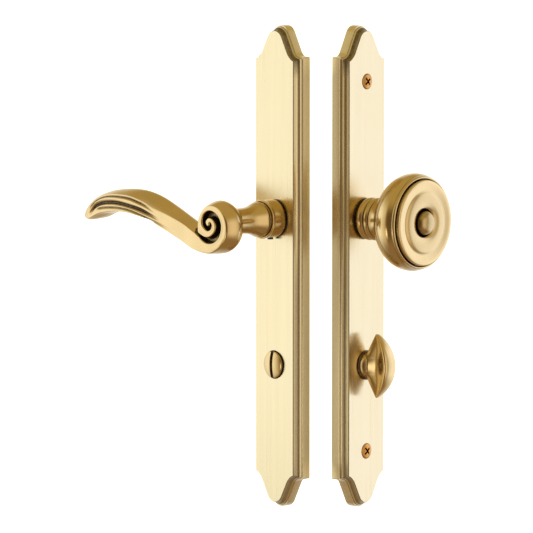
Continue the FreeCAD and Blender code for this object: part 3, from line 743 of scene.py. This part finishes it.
# ---------------------------------------------------------------- thumbturn
def thumb_polygon(v):
    """Half section at v as a closed polygon in (u, n)."""
    k = min(abs(v) / 19.0, 1.0)
    q = max(0.0, 1 - k * k)
    nt = 28.8 - (22.1 - math.sqrt(max(22.1 ** 2 - v * v, 0)))
    nb = max(10.9, 8.7 + 0.50 * abs(v))
    wt = 1.5 + 3.5 * q ** 0.8
    ww = 1.15 + 1.5 * q
    wb = max(1.2 + 4.6 * math.exp(-(v / 6.6) ** 2), ww)
    span = nt - nb
    rim = min(0.16, 2.0 / span)
    w1 = ww + 1.15 * q * math.exp(-(v / 9.0) ** 2)
    prof = [(0.0, wb * 0.72), (0.02, wb * 0.92), (0.05, wb), (0.09, 0.80 * wb + 0.20 * w1),
            (0.13, 0.42 * wb + 0.58 * w1), (0.17, 0.12 * wb + 0.88 * w1), (0.20, w1), (0.34, 0.5 * w1 + 0.5 * ww),
            (0.48, ww), (0.55, 0.96 * ww + 0.04 * wt), (0.63, 0.83 * ww + 0.17 * wt), (0.72, 0.60 * ww + 0.40 * wt),
            (0.80, 0.36 * ww + 0.64 * wt), (1 - rim, 0.95 * wt), (1 - 0.6 * rim, wt), (1 - 0.25 * rim, 0.97 * wt),
            (1.0, 0.80 * wt)]
    right = [(w, nb + s * span) for s, w in prof]
    right.append((0.45 * wt, nt + 0.28))
    pts = right + [(0.0, nt + 0.4)] + [(-w, n) for w, n in right[::-1]]
    return np.array(pts)


def thumbturn():
    h = 0.26
    lo = np.array([-9.6, -20.0, 1.4])
    hi = np.array([9.6, 20.0, 30.0])
    n = np.ceil((hi - lo) / h).astype(int) + 1
    u, v, w = [lo[i] + h * np.arange(n[i]) for i in range(3)]
    U, W = np.meshgrid(u, w, indexing="ij")
    blade = np.full(tuple(n), 6.0)
    for j, y in enumerate(v):
        yy = min(max(y, -18.9), 18.9)
        poly = rounded(thumb_polygon(yy), 0.34, 0.14)
        d = polygon_distance(U, W, poly)
        if abs(y) > 18.9:
            d = np.hypot(np.maximum(d, 0), abs(y) - 18.9) + np.minimum(d, 0) * 0
            d = np.maximum(d, abs(y) - 18.9 + 0.0)
        blade[:, j] = d
    U3, V3, W3 = np.meshgrid(u, v, w, indexing="ij")
    blade = smax(blade, np.abs(V3) - 18.75, 0.6)
    rad = np.hypot(U3, V3)
    foot = profile([(0, 2.0), (4.7, 2.0), (4.95, 2.2), (4.95, 2.25), (4.4, 2.25), (4.4, 2.85), (4.95, 2.85),
                    (4.95, 10.75), (8.4, 10.75), (8.7, 11.05), (8.65, 11.35), [(7.4, 11.6), (6.2, 12.3), (5.4, 13.6)],
                    (0, 13.6)], 8)
    fine = 0.1
    rr = np.arange(0, 30, fine)
    ww = np.arange(0, 31, fine)
    R2, Z2 = np.meshgrid(rr, ww, indexing="ij")
    tab = polygon_distance(R2, Z2, np.array(foot))
    g0 = np.clip(rad / fine, 0, tab.shape[0] - 1.001)
    g1 = np.clip(W3 / fine, 0, tab.shape[1] - 1.001)
    i0, i1 = g0.astype(int), g1.astype(int)
    f0, f1 = g0 - i0, g1 - i1
    base = ((tab[i0, i1] * (1 - f0) + tab[i0 + 1, i1] * f0) * (1 - f1)
            + (tab[i0, i1 + 1] * (1 - f0) + tab[i0 + 1, i1 + 1] * f0) * f1)
    full = smin(blade, base, 0.5)
    slot = np.maximum(np.maximum(np.abs(U3) - 3.0, np.abs(V3) - 0.9), W3 - 9.0)
    full = np.maximum(full, -slot)
    verts, quads, nor = surface(full, lo, h)
    k = np.hypot(verts[:, 0], verts[:, 1])
    # painted shade on the foot ring where the grip meets the plate
    dark_amount = 0.9 * step01(k, 6.6, 7.2) * (verts[:, 2] < 11.7)
    # painted dark reflection in the fillets low on the grip's sides
    dark_amount = np.maximum(dark_amount, 0.6 * np.exp(-((verts[:, 2] - 13.0) / 1.1) ** 2) * np.exp(-(verts[:, 1] / 4.0) ** 4)
                     * (np.abs(verts[:, 0]) > 2.0))
    verts[:, 1] += TURN_V
    ob = mesh_object("thumbturn_grip", inner(verts), quads, "thumbturn_set", ("thumbturn",),
                     normals=inner(nor) - INNER_AT, patina_and_shade=dark_amount)
    paint(ob, "handle")


# ---------------------------------------------------------------- turned pieces
def knob():
    pro = profile([(9.0, 31.0), (9.0, 25.6), (12.5, 25.6), (12.75, 25.85),
                   [(14.8, 27.0), (19.5, 31.0), (24.0, 35.0), (26.9, 39.0), (28.2, 43.0), (28.35, 45.3),
                    (28.1, 47.6), (27.25, 49.6)],
                   (26.95, 50.1),
                   [(26.95, 50.8), (26.6, 51.5), (26.0, 51.85), (25.45, 51.55)],
                   (25.3, 51.0), (25.2, 49.8), (24.85, 49.8), (24.8, 51.0), (24.78, 52.8),
                   [(24.6, 53.35), (24.1, 53.7), (23.2, 53.85), (21.8, 53.78), (20.4, 53.62), (19.3, 53.5)],
                   [(18.7, 53.45), (18.1, 53.6), (17.4, 53.95), (16.7, 54.25), (15.6, 54.45), (13.6, 54.55),
                    (11.8, 54.48), (10.4, 54.22), (9.3, 53.85), (8.7, 53.5)],
                   (8.3, 53.1), (8.1, 52.8), (8.1, 47.0), (4.0, 47.0), (4.0, 31.0)], 10)
    v, f = turned(pro, 220)
    r = np.hypot(v[:, 0], v[:, 1])
    # patina and painted shade in the narrow groove inside the rim
    dark_amount = 1.0 * (r > 24.7) * (r < 25.36) * (v[:, 2] > 49) * np.clip((53.1 - v[:, 2]) / 0.5, 0, 1)
    # the inner face a little darker
    dark_amount = np.maximum(dark_amount, 0.10 * (r < 18.8) * (v[:, 2] > 52))
    # painted shade inside the hole round the button
    dark_amount = np.maximum(dark_amount, 1.0 * (r < 8.2) * np.clip((53.1 - v[:, 2]) / 0.5, 0, 1))
    # painted shadow where the head meets the stem
    dark_amount = np.maximum(dark_amount, 0.5 * np.exp(-((v[:, 2] - 25.7) / 0.35) ** 2))
    # patina and painted shade in the step under the rim
    dark_amount = np.maximum(dark_amount, 0.45 * np.exp(-((v[:, 2] - 50.2) / 0.25) ** 2) * (r > 26.5))
    paint(mesh_object("knob_head", inner(v), f, "knob_set", ("knob_body",), sharp=38, patina_and_shade=dark_amount),
          "handle")

    pro = profile([(0, 4.8), (7.05, 4.8), (7.45, 5.1), (7.45, 5.2), (6.7, 5.2), (6.7, 6.1), (7.45, 6.1),
                   (7.45, 10.9), (11.3, 10.9), (11.3, 11.9), (11.75, 11.95),
                   [(12.1, 12.5), (12.4, 13.3), (12.45, 14.2), (12.1, 15.3), (11.4, 16.1)], (11.0, 16.4),
                   (11.4, 16.7), [(12.1, 17.4), (12.45, 18.4), (12.2, 19.5), (11.5, 20.25)], (11.1, 20.5),
                   (11.5, 20.75), (11.9, 21.0), [(11.8, 23.0), (12.0, 25.2)], (12.0, 25.5), (9.0, 25.6), (9.0, 31.0),
                   (0, 31.0)], 10)
    v, f = turned(pro, 160)
    ob = temp(v, f)
    cut = [block(-4, 4, -4, 4, 4.0, 28.0), ]
    ob = boolean(ob, joined(cut), "DIFFERENCE")
    hole_v, hole_f = cyl(0, 0, 3.9, 14, 1.72, seg=48)
    hole_v = np.stack([hole_v[:, 0], -hole_v[:, 2], hole_v[:, 1] + 13.4], 1)
    ob = boolean(ob, temp(hole_v, hole_f), "DIFFERENCE")

    def shade(p):
        r = np.hypot(p[:, 0], p[:, 1])
        a = 0.95 * np.exp(-((p[:, 2] - 16.4) / 0.45) ** 2) + 0.95 * np.exp(-((p[:, 2] - 20.5) / 0.4) ** 2)
        a += 1.0 * (p[:, 2] < 11.96) + 0.6 * np.exp(-((p[:, 2] - 25.5) / 0.5) ** 2)
        return np.clip(a, 0, 1) * (r > 8)

    paint(place(ob, "knob_stem", inner, "knob_set", ("knob_shank",), 35, shade), "handle")

    pro = profile([(0, 40.0), (4.0, 40.0), (4.0, 47.0), (6.2, 47.0), (6.95, 48.0), (6.95, 53.4),
                   [(6.8, 54.3), (6.2, 55.5), (4.9, 56.7), (2.7, 57.5), (0.0, 57.75)]], 12)
    v, f = turned(pro, 120)
    # button darkened all over and more towards its rim: painted dark reflection on the dome
    dark_amount = np.clip((56.0 - v[:, 2]) / 2.4, 0.26, 1.0)
    paint(mesh_object("knob_boss", inner(v), f, "knob_set", ("knob_button",), sharp=38, patina_and_shade=dark_amount),
          "handle")


def release():
    pro = profile([(0, 2.0), (4.7, 2.0), (4.95, 2.2), (4.4, 2.2), (4.4, 2.9), (4.95, 2.9), (4.95, 8.6), (7.9, 8.6),
                   (7.9, 11.35), [(7.85, 11.62), (7.6, 11.9), (7.1, 12.15)],
                   [(6.3, 12.42), (4.8, 12.8), (2.5, 13.12), (0.0, 13.22)]], 8)
    v, f = turned(pro, 140, 0, TURN_V)
    ob = temp(v, f)
    b = [block(-1.2, 1.2, TURN_V - 9.5, TURN_V + 9.5, 11.3, 16.0), block(-3.0, 3.0, TURN_V - 0.9, TURN_V + 0.9, 0, 8.0)]
    ob = boolean(ob, joined(b), "DIFFERENCE")

    def shade(p):
        r = np.hypot(p[:, 0], p[:, 1] - TURN_V)
        a = np.where((np.abs(p[:, 0]) < 1.25) & (p[:, 2] < 11.6) & (p[:, 2] > 11.0), 1.0, 0.0)
        a = np.maximum(a, np.where((r > 7.8) & (p[:, 2] < 11.6), 1.0, 0.0))
        return a

    paint(place(ob, "release_head", outer, "release_set", ("release_button",), 30, shade), "handle")


# ---------------------------------------------------------------- plates
def half_crest(t):
    def arc(cu, cv, r, a0, a1, k):
        return [(cu + r * math.sin(math.radians(a0 + (a1 - a0) * i / (k - 1))),
                 cv - r * math.cos(math.radians(a0 + (a1 - a0) * i / (k - 1)))) for i in range(k)]

    def line(a, b, k):
        return [(a[0] + (b[0] - a[0]) * i / (k + 1), a[1] + (b[1] - a[1]) * i / (k + 1)) for i in range(1, k + 1)]

    def hollow(cu, cv, r, p0, p1, k):
        a0 = math.atan2(p0[0] - cu, p0[1] - cv)
        a1 = math.atan2(p1[0] - cu, p1[1] - cv)
        return [(cu + r * math.sin(a0 + (a1 - a0) * i / (k - 1)), cv + r * math.cos(a0 + (a1 - a0) * i / (k - 1)))
                for i in range(k)]

    b = arc(0, 7.0, 7.0, 0, 63, 20)
    b += line(b[-1], (12.2, 15.5), 6)
    b += hollow(16.66, 13.25, 5.0, (12.2, 15.5), (16.66, 18.25), 18)
    f = arc(0, 9.8, 6.5, 0, 63, 20)
    f += line(f[-1], (10.2, 15.35), 6)
    f += hollow(20.89, 9.9, 12.0, (10.2, 15.35), (14.9, 20.29), 18)
    pts = [(p[0] + (q[0] - p[0]) * t, (p[1] + (q[1] - p[1]) * t) * CREST_K) for p, q in zip(b, f)]
    hw = PLATE_W / 2
    c0 = [(hw - 1.0, 18.25), (hw - 0.62, 18.33), (hw - 0.293, 18.543), (hw - 0.08, 18.87), (hw, 19.25)]
    c1 = [(hw - BORDER - 0.35, 20.55), (hw - BORDER - 0.2, 20.59), (hw - BORDER - 0.09, 20.66),
          (hw - BORDER - 0.02, 20.8), (hw - BORDER, 20.95)]
    pts += [(p[0] + (q[0] - p[0]) * t, (p[1] + (q[1] - p[1]) * t) * CREST_K) for p, q in zip(c0, c1)]
    return pts


def ring(t):
    pts = half_crest(t)
    top = [(-a, PLATE_TOP - b) for a, b in reversed(pts[1:])] + [(a, PLATE_TOP - b) for a, b in pts]
    bot = [(a, PLATE_BOT + b) for a, b in reversed(pts)] + [(-a, PLATE_BOT + b) for a, b in pts[1:]]
    side = []
    v0, v1 = top[-1][1], bot[0][1]
    right = [(top[-1][0], v0 + (v1 - v0) * i / 24) for i in range(1, 24)]
    left = [(-top[-1][0], v1 + (v0 - v1) * i / 24) for i in range(1, 24)]
    return top + right + bot + left


def border_levels():
    lv = [(0.0, 0.0), (0.0, WALL_N - 0.2), (0.012, WALL_N - 0.06), (0.05, WALL_N), (0.20, WALL_N + 0.04),
          (0.225, WALL_N + 0.12), (0.26, WALL_N + 0.4), (0.34, 6.36), (0.35, 6.55), (0.37, 6.66), (0.42, 6.7)]
    for k in range(0, 13):
        a = math.radians(72.0 - 64.0 * k / 12)
        lv.append((0.43 + 0.45 * (math.cos(a) - 0.309) / 0.681, 6.75 + 2.2 * (0.951 - math.sin(a)) / 0.812))
    lv += [(0.884, 9.0), (0.888, 10.0), (0.892, 10.06), (0.985, 10.46), (1.0, 10.5), (1.05, 10.5)]
    return lv


def plate(name, where, is_outer):
    levels = border_levels()
    verts, faces = [], []
    m = len(ring(0))
    for t, n in levels:
        verts += [(a, b, n) for a, b in ring(t)]
    for j in range(len(levels) - 1):
        for i in range(m):
            k = (i + 1) % m
            faces.append([j * m + i, j * m + k, (j + 1) * m + k, (j + 1) * m + i])
    faces.append(list(range(m)))
    faces.append(list(range((len(levels) - 1) * m, len(levels) * m))[::-1])
    ob = temp(verts, faces)
    pocket = temp(*block(-13, 13, -146.5, 89.0, -1.0, 7.5, 4.0))
    keep = [cyl(0, v, -0.001, 9.0, 6.5) for v in SCREW_V] + [cyl(0, TURN_V, 3.0, 9.0, 9.0)]
    for s in (-1, 1):
        a = math.radians(60.5)
        keep.append(cyl(s * 11.6 * math.sin(a), 11.6 * math.cos(a), 0.5, 9.0, 1.0, seg=32))
    pocket = boolean(pocket, joined(keep), "DIFFERENCE")
    ob = boolean(ob, pocket, "DIFFERENCE")
    cut = [cyl(0, 0, -1, 12, 9.0, seg=128), cyl(0, TURN_V, -1, 12, 5.05)]
    pin = [cyl(0, -9.3, 5.0, 8.9, 0.9, seg=32)]
    if is_outer:
        cut += [cyl(0, v, -1, 6.6, 2.4, seg=48) for v in SCREW_V]
        ob = boolean(ob, joined(cut), "DIFFERENCE")
        ob = boolean(ob, joined(pin), "DIFFERENCE")
        lip = turned([(0, 8.4), (8.2, 8.4), (8.2, 10.3), (8.27, 10.42), (8.4, 10.52), (8.4, 12), (0, 12)], 128,
                     0, TURN_V)
        ob = boolean(ob, joined([lip]), "DIFFERENCE")
    else:
        cut += [turned([(0, -1), (2.55, -1), (2.55, 8.2), (4.48, 10.42), (4.62, 10.52), (4.62, 12), (0, 12)], 96, 0, v)
                for v in SCREW_V]
        ob = boolean(ob, joined(cut), "DIFFERENCE")
        ob = boolean(ob, joined(pin), "DIFFERENCE")

    def shade(p):
        n = p[:, 2]
        crest = ((p[:, 1] > PLATE_TOP - 20.4) | (p[:, 1] < PLATE_BOT + 20.4)).astype(float)
        # patina and painted shade in the inner corners of the ledge and at the foot of the cove
        a = 0.55 * np.exp(-((n - 5.75) / 0.3) ** 2) + 0.5 * np.exp(-((n - 6.85) / 0.16) ** 2)
        # painted shade grows towards the bottom
        low = step01(-p[:, 1], 0.0, 45.0)
        # the cove painted in shade: strongest along the top crest, less along the bottom crest, on the long sides
        # growing towards the bottom, fading near the face
        deep = np.where(crest > 0, np.where(p[:, 1] > 0, 0.84, 0.5), 0.08 + 0.40 * low)
        cove = (n > 6.74) * deep * (1 - (0.7 - 0.5 * crest) * step01(n, 8.6, 9.2))
        # painted dark reflection along the chamfer at the face's edge
        a = a + 0.6 * (n > 10.03) * (n < 10.48)
        a = np.maximum(a, cove)
        border = (np.abs(p[:, 0]) > PLATE_W / 2 - BORDER - 0.2) | (crest > 0)
        a = a * border * (n > 5.35) * (n < 10.48)
        # the outer side walls painted darker, more on the outer plate and towards the bottom: painted shade
        wall = (n < 5.2) * (np.abs(p[:, 0]) > PLATE_W / 2 - 0.3) * (1 - crest)
        a = np.maximum(a, wall * ((0.2 if is_outer else 0.1) + 0.12 * low))
        r = np.hypot(p[:, 0], p[:, 1] - TURN_V)
        if is_outer:
            # painted shade inside the hole round the release button
            a = np.maximum(a, np.where((r < 8.3) & (n > 8.2) & (n < 10.4), 1.0, 0))
        # painted shade in the screw countersinks
        for v in SCREW_V:
            r = np.hypot(p[:, 0], p[:, 1] - v)
            a = np.maximum(a, np.where((r < 4.55) & (n > 8) & (n < 10.45), 0.9, 0))
        return a

    paint(place(ob, name, where, "plates", ("outer_plate",) if is_outer else ("inner_plate",), 17,
                shade), "plate_o" if is_outer else "plate_i")


# ---------------------------------------------------------------- screws and posts
def thread(r, pitch, n0, n1, depth, u, v, seg=64, per=10, taper=1.0):
    """Threaded outer surface between two ends, with flat ends closed to the axis."""
    rows = int((n1 - n0) / pitch * per)
    verts, faces = [], []
    for j in range(rows + 1):
        n = n0 + (n1 - n0) * j / rows
        for i in range(seg):
            th = 2 * math.pi * i / seg
            ph = ((n - n0) / pitch - i / seg) % 1.0
            w = 1 - abs(2 * ph - 1)
            fade = min(1.0, (n - n0) / taper, (n1 - n) / 0.5)
            cut = min(max((w - 0.12) / 0.76, 0), 1)
            rr = r - depth * (1 - cut) * max(fade, 0) - 0.35 * max(0.0, 1 - (n - n0) / 0.7)
            verts.append((u + rr * math.sin(th), v + rr * math.cos(th), n))
    for j in range(rows):
        for i in range(seg):
            k = (i + 1) % seg
            faces.append([j * seg + i, j * seg + k, (j + 1) * seg + k, (j + 1) * seg + i])
    faces.append(list(range(seg)))
    faces.append(list(range(rows * seg, rows * seg + seg))[::-1])
    return np.array(verts), faces


def cross_recess(v, turn):
    """Tapered four-wing recess."""
    parts = []
    for k in range(2):
        a = math.radians(turn + 90 * k)
        c, s = math.cos(a), math.sin(a)
        verts = []
        for n, hl, hw in ((8.5, 0.5, 0.3), (9.6, 1.45, 0.46), (12.0, 3.3, 0.66)):
            for x, y in ((-hl, -hw), (hl, -hw), (hl, hw), (-hl, hw)):
                verts.append((x * c - y * s, v + x * s + y * c, n))
        faces = [[3, 2, 1, 0], [8, 9, 10, 11]]
        for j in (0, 4):
            faces += [[j + i, j + (i + 1) % 4, j + 4 + (i + 1) % 4, j + 4 + i] for i in range(4)]
        parts.append((np.array(verts), faces))
    return parts


def screws():
    for name, v, turn in (("inner_screw_upper", SCREW_V[0], 38), ("inner_screw_lower", SCREW_V[1], 41)):
        pro = profile([(0, -0.1), (2.25, -0.1), (2.25, 8.2), (4.3, 10.28), (4.4, 10.42),
                       [(4.2, 10.7), (3.4, 11.02), (1.8, 11.34), (0, 11.42)]], 8)
        ob = temp(*turned(pro, 96, 0, v))
        for part in cross_recess(v, turn):
            ob = boolean(ob, joined([part]), "DIFFERENCE")
        tv, tf = thread(2.5, 0.8, -12.0, 0.0, 0.43, 0, v)
        k = len(ob.data.vertices)
        co = [tuple(x.co) for x in ob.data.vertices] + [tuple(x) for x in tv]
        fc = [list(p.vertices) for p in ob.data.polygons] + [[i + k for i in f] for f in tf]
        bpy.data.objects.remove(ob)
        ob = temp(co, fc)

        def shade(p, v=v):
            r = np.hypot(p[:, 0], p[:, 1] - v)
            a = np.where((r < 3.2) & (p[:, 2] < 10.6) & (p[:, 2] > 8.3), 1.0, 0.0)
            return np.maximum(a, np.where((r > 4.1) & (p[:, 2] < 10.6), 1.0, 0.0))

        paint(place(ob, name + "_head", inner, "plates", (name,), 30, shade), "screw")


lever()
thumbturn()
knob()
release()
plate("outer_plate_casting", outer, True)
plate("inner_plate_casting", inner, False)
screws()

CARRIED = {
    "lever_set_screw": "set_screw", "knob_set_screw": "set_screw", "outer_bushing": "bronze",
    "inner_bushing": "bronze", "outer_washer": "bronze", "inner_washer": "bronze", "outer_spring_pin": "steel",
    "inner_spring_pin": "steel", "outer_post_upper": "steel", "outer_post_lower": "steel",
    "outer_retaining_ring": "spring", "inner_retaining_ring": "spring", "outer_spring_cam": "steel",
    "inner_spring_cam": "steel", "outer_return_spring": "spring", "inner_return_spring": "spring",
    "outer_spindle": "steel", "inner_spindle": "steel", "release_clip": "spring", "thumbturn_clip": "spring",
    "release_tailpiece": "steel", "thumbturn_tailpiece": "steel",
}
for node, key in CARRIED.items():
    paint(NODES[node], key)

# ---------------------------------------------------------------- floor, world, lights
scene = bpy.context.scene
scene.view_settings.view_transform = "Standard"
scene.view_settings.look = "None"

fm, nt, bs = material("floor_white")
bs.inputs["Roughness"].default_value = 0.9
spk = noise(nt, 3.0, (1, 1, 1), 2.0)
nt.links.new(mix(nt, remap(nt, spk, 0.3, 0.7, 0.0, 1.0), (0.93, 0.93, 0.925), (0.95, 0.95, 0.945)),
             bs.inputs["Base Color"])
bs.inputs["Emission Color"].default_value = (1.0, 1.0, 1.0, 1.0)
bs.inputs["Emission Strength"].default_value = 0.9
fv = [(-40, -40, -0.42), (40, -40, -0.42), (40, 40, -0.42), (-40, 40, -0.42)]
fme = bpy.data.meshes.new("floor")
fme.from_pydata(fv, [], [(0, 1, 2, 3)])
floor = bpy.data.objects.new("floor", fme)
scene.collection.objects.link(floor)
fme.materials.append(fm)
floor.visible_glossy = False

AZ, EL, DIST = math.radians(47.97), math.radians(6.04), 3.223
BACK = Vector((math.sin(AZ) * math.cos(EL), -math.cos(AZ) * math.cos(EL), math.sin(EL)))
TARGET = Vector((-0.008251, -0.009154, -0.029019))

world = bpy.data.worlds.new("studio")
scene.world = world
world.use_nodes = True
nt = world.node_tree
nt.nodes.clear()
wo = nt.nodes.new("ShaderNodeOutputWorld")
bg = nt.nodes.new("ShaderNodeBackground")
nt.links.new(bg.outputs[0], wo.inputs[0])
tc = nt.nodes.new("ShaderNodeTexCoord")


def smooth(x, a, b):
    r = nt.nodes.new("ShaderNodeMapRange")
    r.interpolation_type = "SMOOTHSTEP"
    r.inputs["From Min"].default_value = a
    r.inputs["From Max"].default_value = b
    nt.links.new(x, r.inputs["Value"])
    return r.outputs[0]


# soft panels to the left and the right, dim behind the viewer, brown above, grey below and behind
xyz = nt.nodes.new("ShaderNodeSeparateXYZ")
nt.links.new(tc.outputs["Generated"], xyz.inputs[0])
turn = maths(nt, "ARCTAN2", xyz.outputs[1], xyz.outputs[0])
turn = maths(nt, "ADD", maths(nt, "MULTIPLY", turn, 0.5 / math.pi), 0.5)
ramp = nt.nodes.new("ShaderNodeValToRGB")
nt.links.new(turn, ramp.inputs[0])
ramp.color_ramp.interpolation = "B_SPLINE"
ROUND = [
    (-180, 0.97, 0.95, 0.92), (-160, 0.96, 0.96, 0.97), (-142, 0.94, 0.95, 0.96), (-130, 0.94, 0.93, 0.90),
    (-121, 0.90, 0.85, 0.74), (-113, 0.76, 0.66, 0.49), (-106, 0.44, 0.33, 0.20), (-98, 0.19, 0.125, 0.06),
    (-80, 0.15, 0.095, 0.038),
    (-48, 0.15, 0.095, 0.040), (-33, 0.32, 0.23, 0.13), (-17, 0.88, 0.76, 0.63), (0, 1.08, 0.95, 0.84),
    (22, 0.86, 0.74, 0.60), (41, 0.47, 0.40, 0.27), (54, 0.88, 0.88, 0.94), (68, 1.08, 1.08, 1.30),
    (95, 1.05, 1.06, 1.16), (138, 0.96, 0.94, 0.92), (180, 0.97, 0.95, 0.92),
]
els = ramp.color_ramp.elements
for i, (deg, r, g, b) in enumerate(ROUND):
    if i == 0:
        e = els[0]
    elif i == len(ROUND) - 1:
        e = els[len(els) - 1]
    else:
        e = els.new((deg + 180) / 360)
    e.color = (r, g, b, 1.0)
up = smooth(xyz.outputs[2], 0.30, 0.74)
down = smooth(maths(nt, "MULTIPLY", xyz.outputs[2], -1.0), 0.36, 0.80)
away = nt.nodes.new("ShaderNodeVectorMath")
away.operation = "DOT_PRODUCT"
nt.links.new(tc.outputs["Generated"], away.inputs[0])
away.inputs[1].default_value = Vector((-BACK.x, -BACK.y, 0)).normalized()
low = mix(nt, smooth(away.outputs["Value"], 0.1, 0.75), (0.33, 0.22, 0.12), (0.60, 0.57, 0.60))
col = mix(nt, up, ramp.outputs[0], (0.50, 0.385, 0.165))
col = mix(nt, down, col, low)
nt.links.new(col, bg.inputs[0])
bg.inputs[1].default_value = 1.0


def panel(name, at, look, w, h, radiance, colour, soft):
    """Area light that fades towards its edges."""
    li = bpy.data.lights.new(name, "AREA")
    li.shape = "RECTANGLE"
    li.size, li.size_y = w, h
    li.energy = radiance * math.pi * w * h
    li.color = colour
    li.use_nodes = True
    t = li.node_tree
    em = [n for n in t.nodes if n.type == "EMISSION"][0]
    sep = t.nodes.new("ShaderNodeSeparateXYZ")
    t.links.new(t.nodes.new("ShaderNodeNewGeometry").outputs["Parametric"], sep.inputs[0])
    fade = []
    for i in (0, 1):
        d = maths(t, "ABSOLUTE", maths(t, "SUBTRACT", sep.outputs[i], 0.5), 0.0)
        r = t.nodes.new("ShaderNodeMapRange")
        r.interpolation_type = "SMOOTHSTEP"
        r.inputs["From Min"].default_value = 0.5
        r.inputs["From Max"].default_value = 0.5 - soft
        t.links.new(d, r.inputs["Value"])
        fade.append(r.outputs[0])
    t.links.new(maths(t, "MULTIPLY", fade[0], fade[1]), em.inputs["Strength"])
    ob = bpy.data.objects.new(name, li)
    scene.collection.objects.link(ob)
    ob.location = at
    ob.rotation_euler = (Vector(look) - Vector(at)).to_track_quat("-Z", "Y").to_euler()
    return ob


panel("left_panel", (-0.415, -0.29, -0.01), (0, 0, -0.01), 0.62, 0.74, 0.30, (1.0, 1.02, 1.25), 0.33)
panel("low_panel", (0.024, -0.39, -0.155), (0.04, 0.02, -0.09), 0.16, 0.20, 1.8, (1.0, 0.97, 0.92), 0.4)
panel("right_panel", (0.20, 0.50, -0.01), (0.03, 0.03, -0.01), 0.62, 0.86, 0.34, (0.9, 1.0, 1.6), 0.24)

cam = bpy.data.cameras.new("camera")
cam.lens = 373.55
cam.sensor_width = 36.0
cam.clip_end = 100.0
co = bpy.data.objects.new("camera", cam)
scene.collection.objects.link(co)
co.location = TARGET + BACK * DIST
co.rotation_mode = "QUATERNION"
co.rotation_quaternion = (-BACK).to_track_quat("-Z", "Y")
scene.camera = co
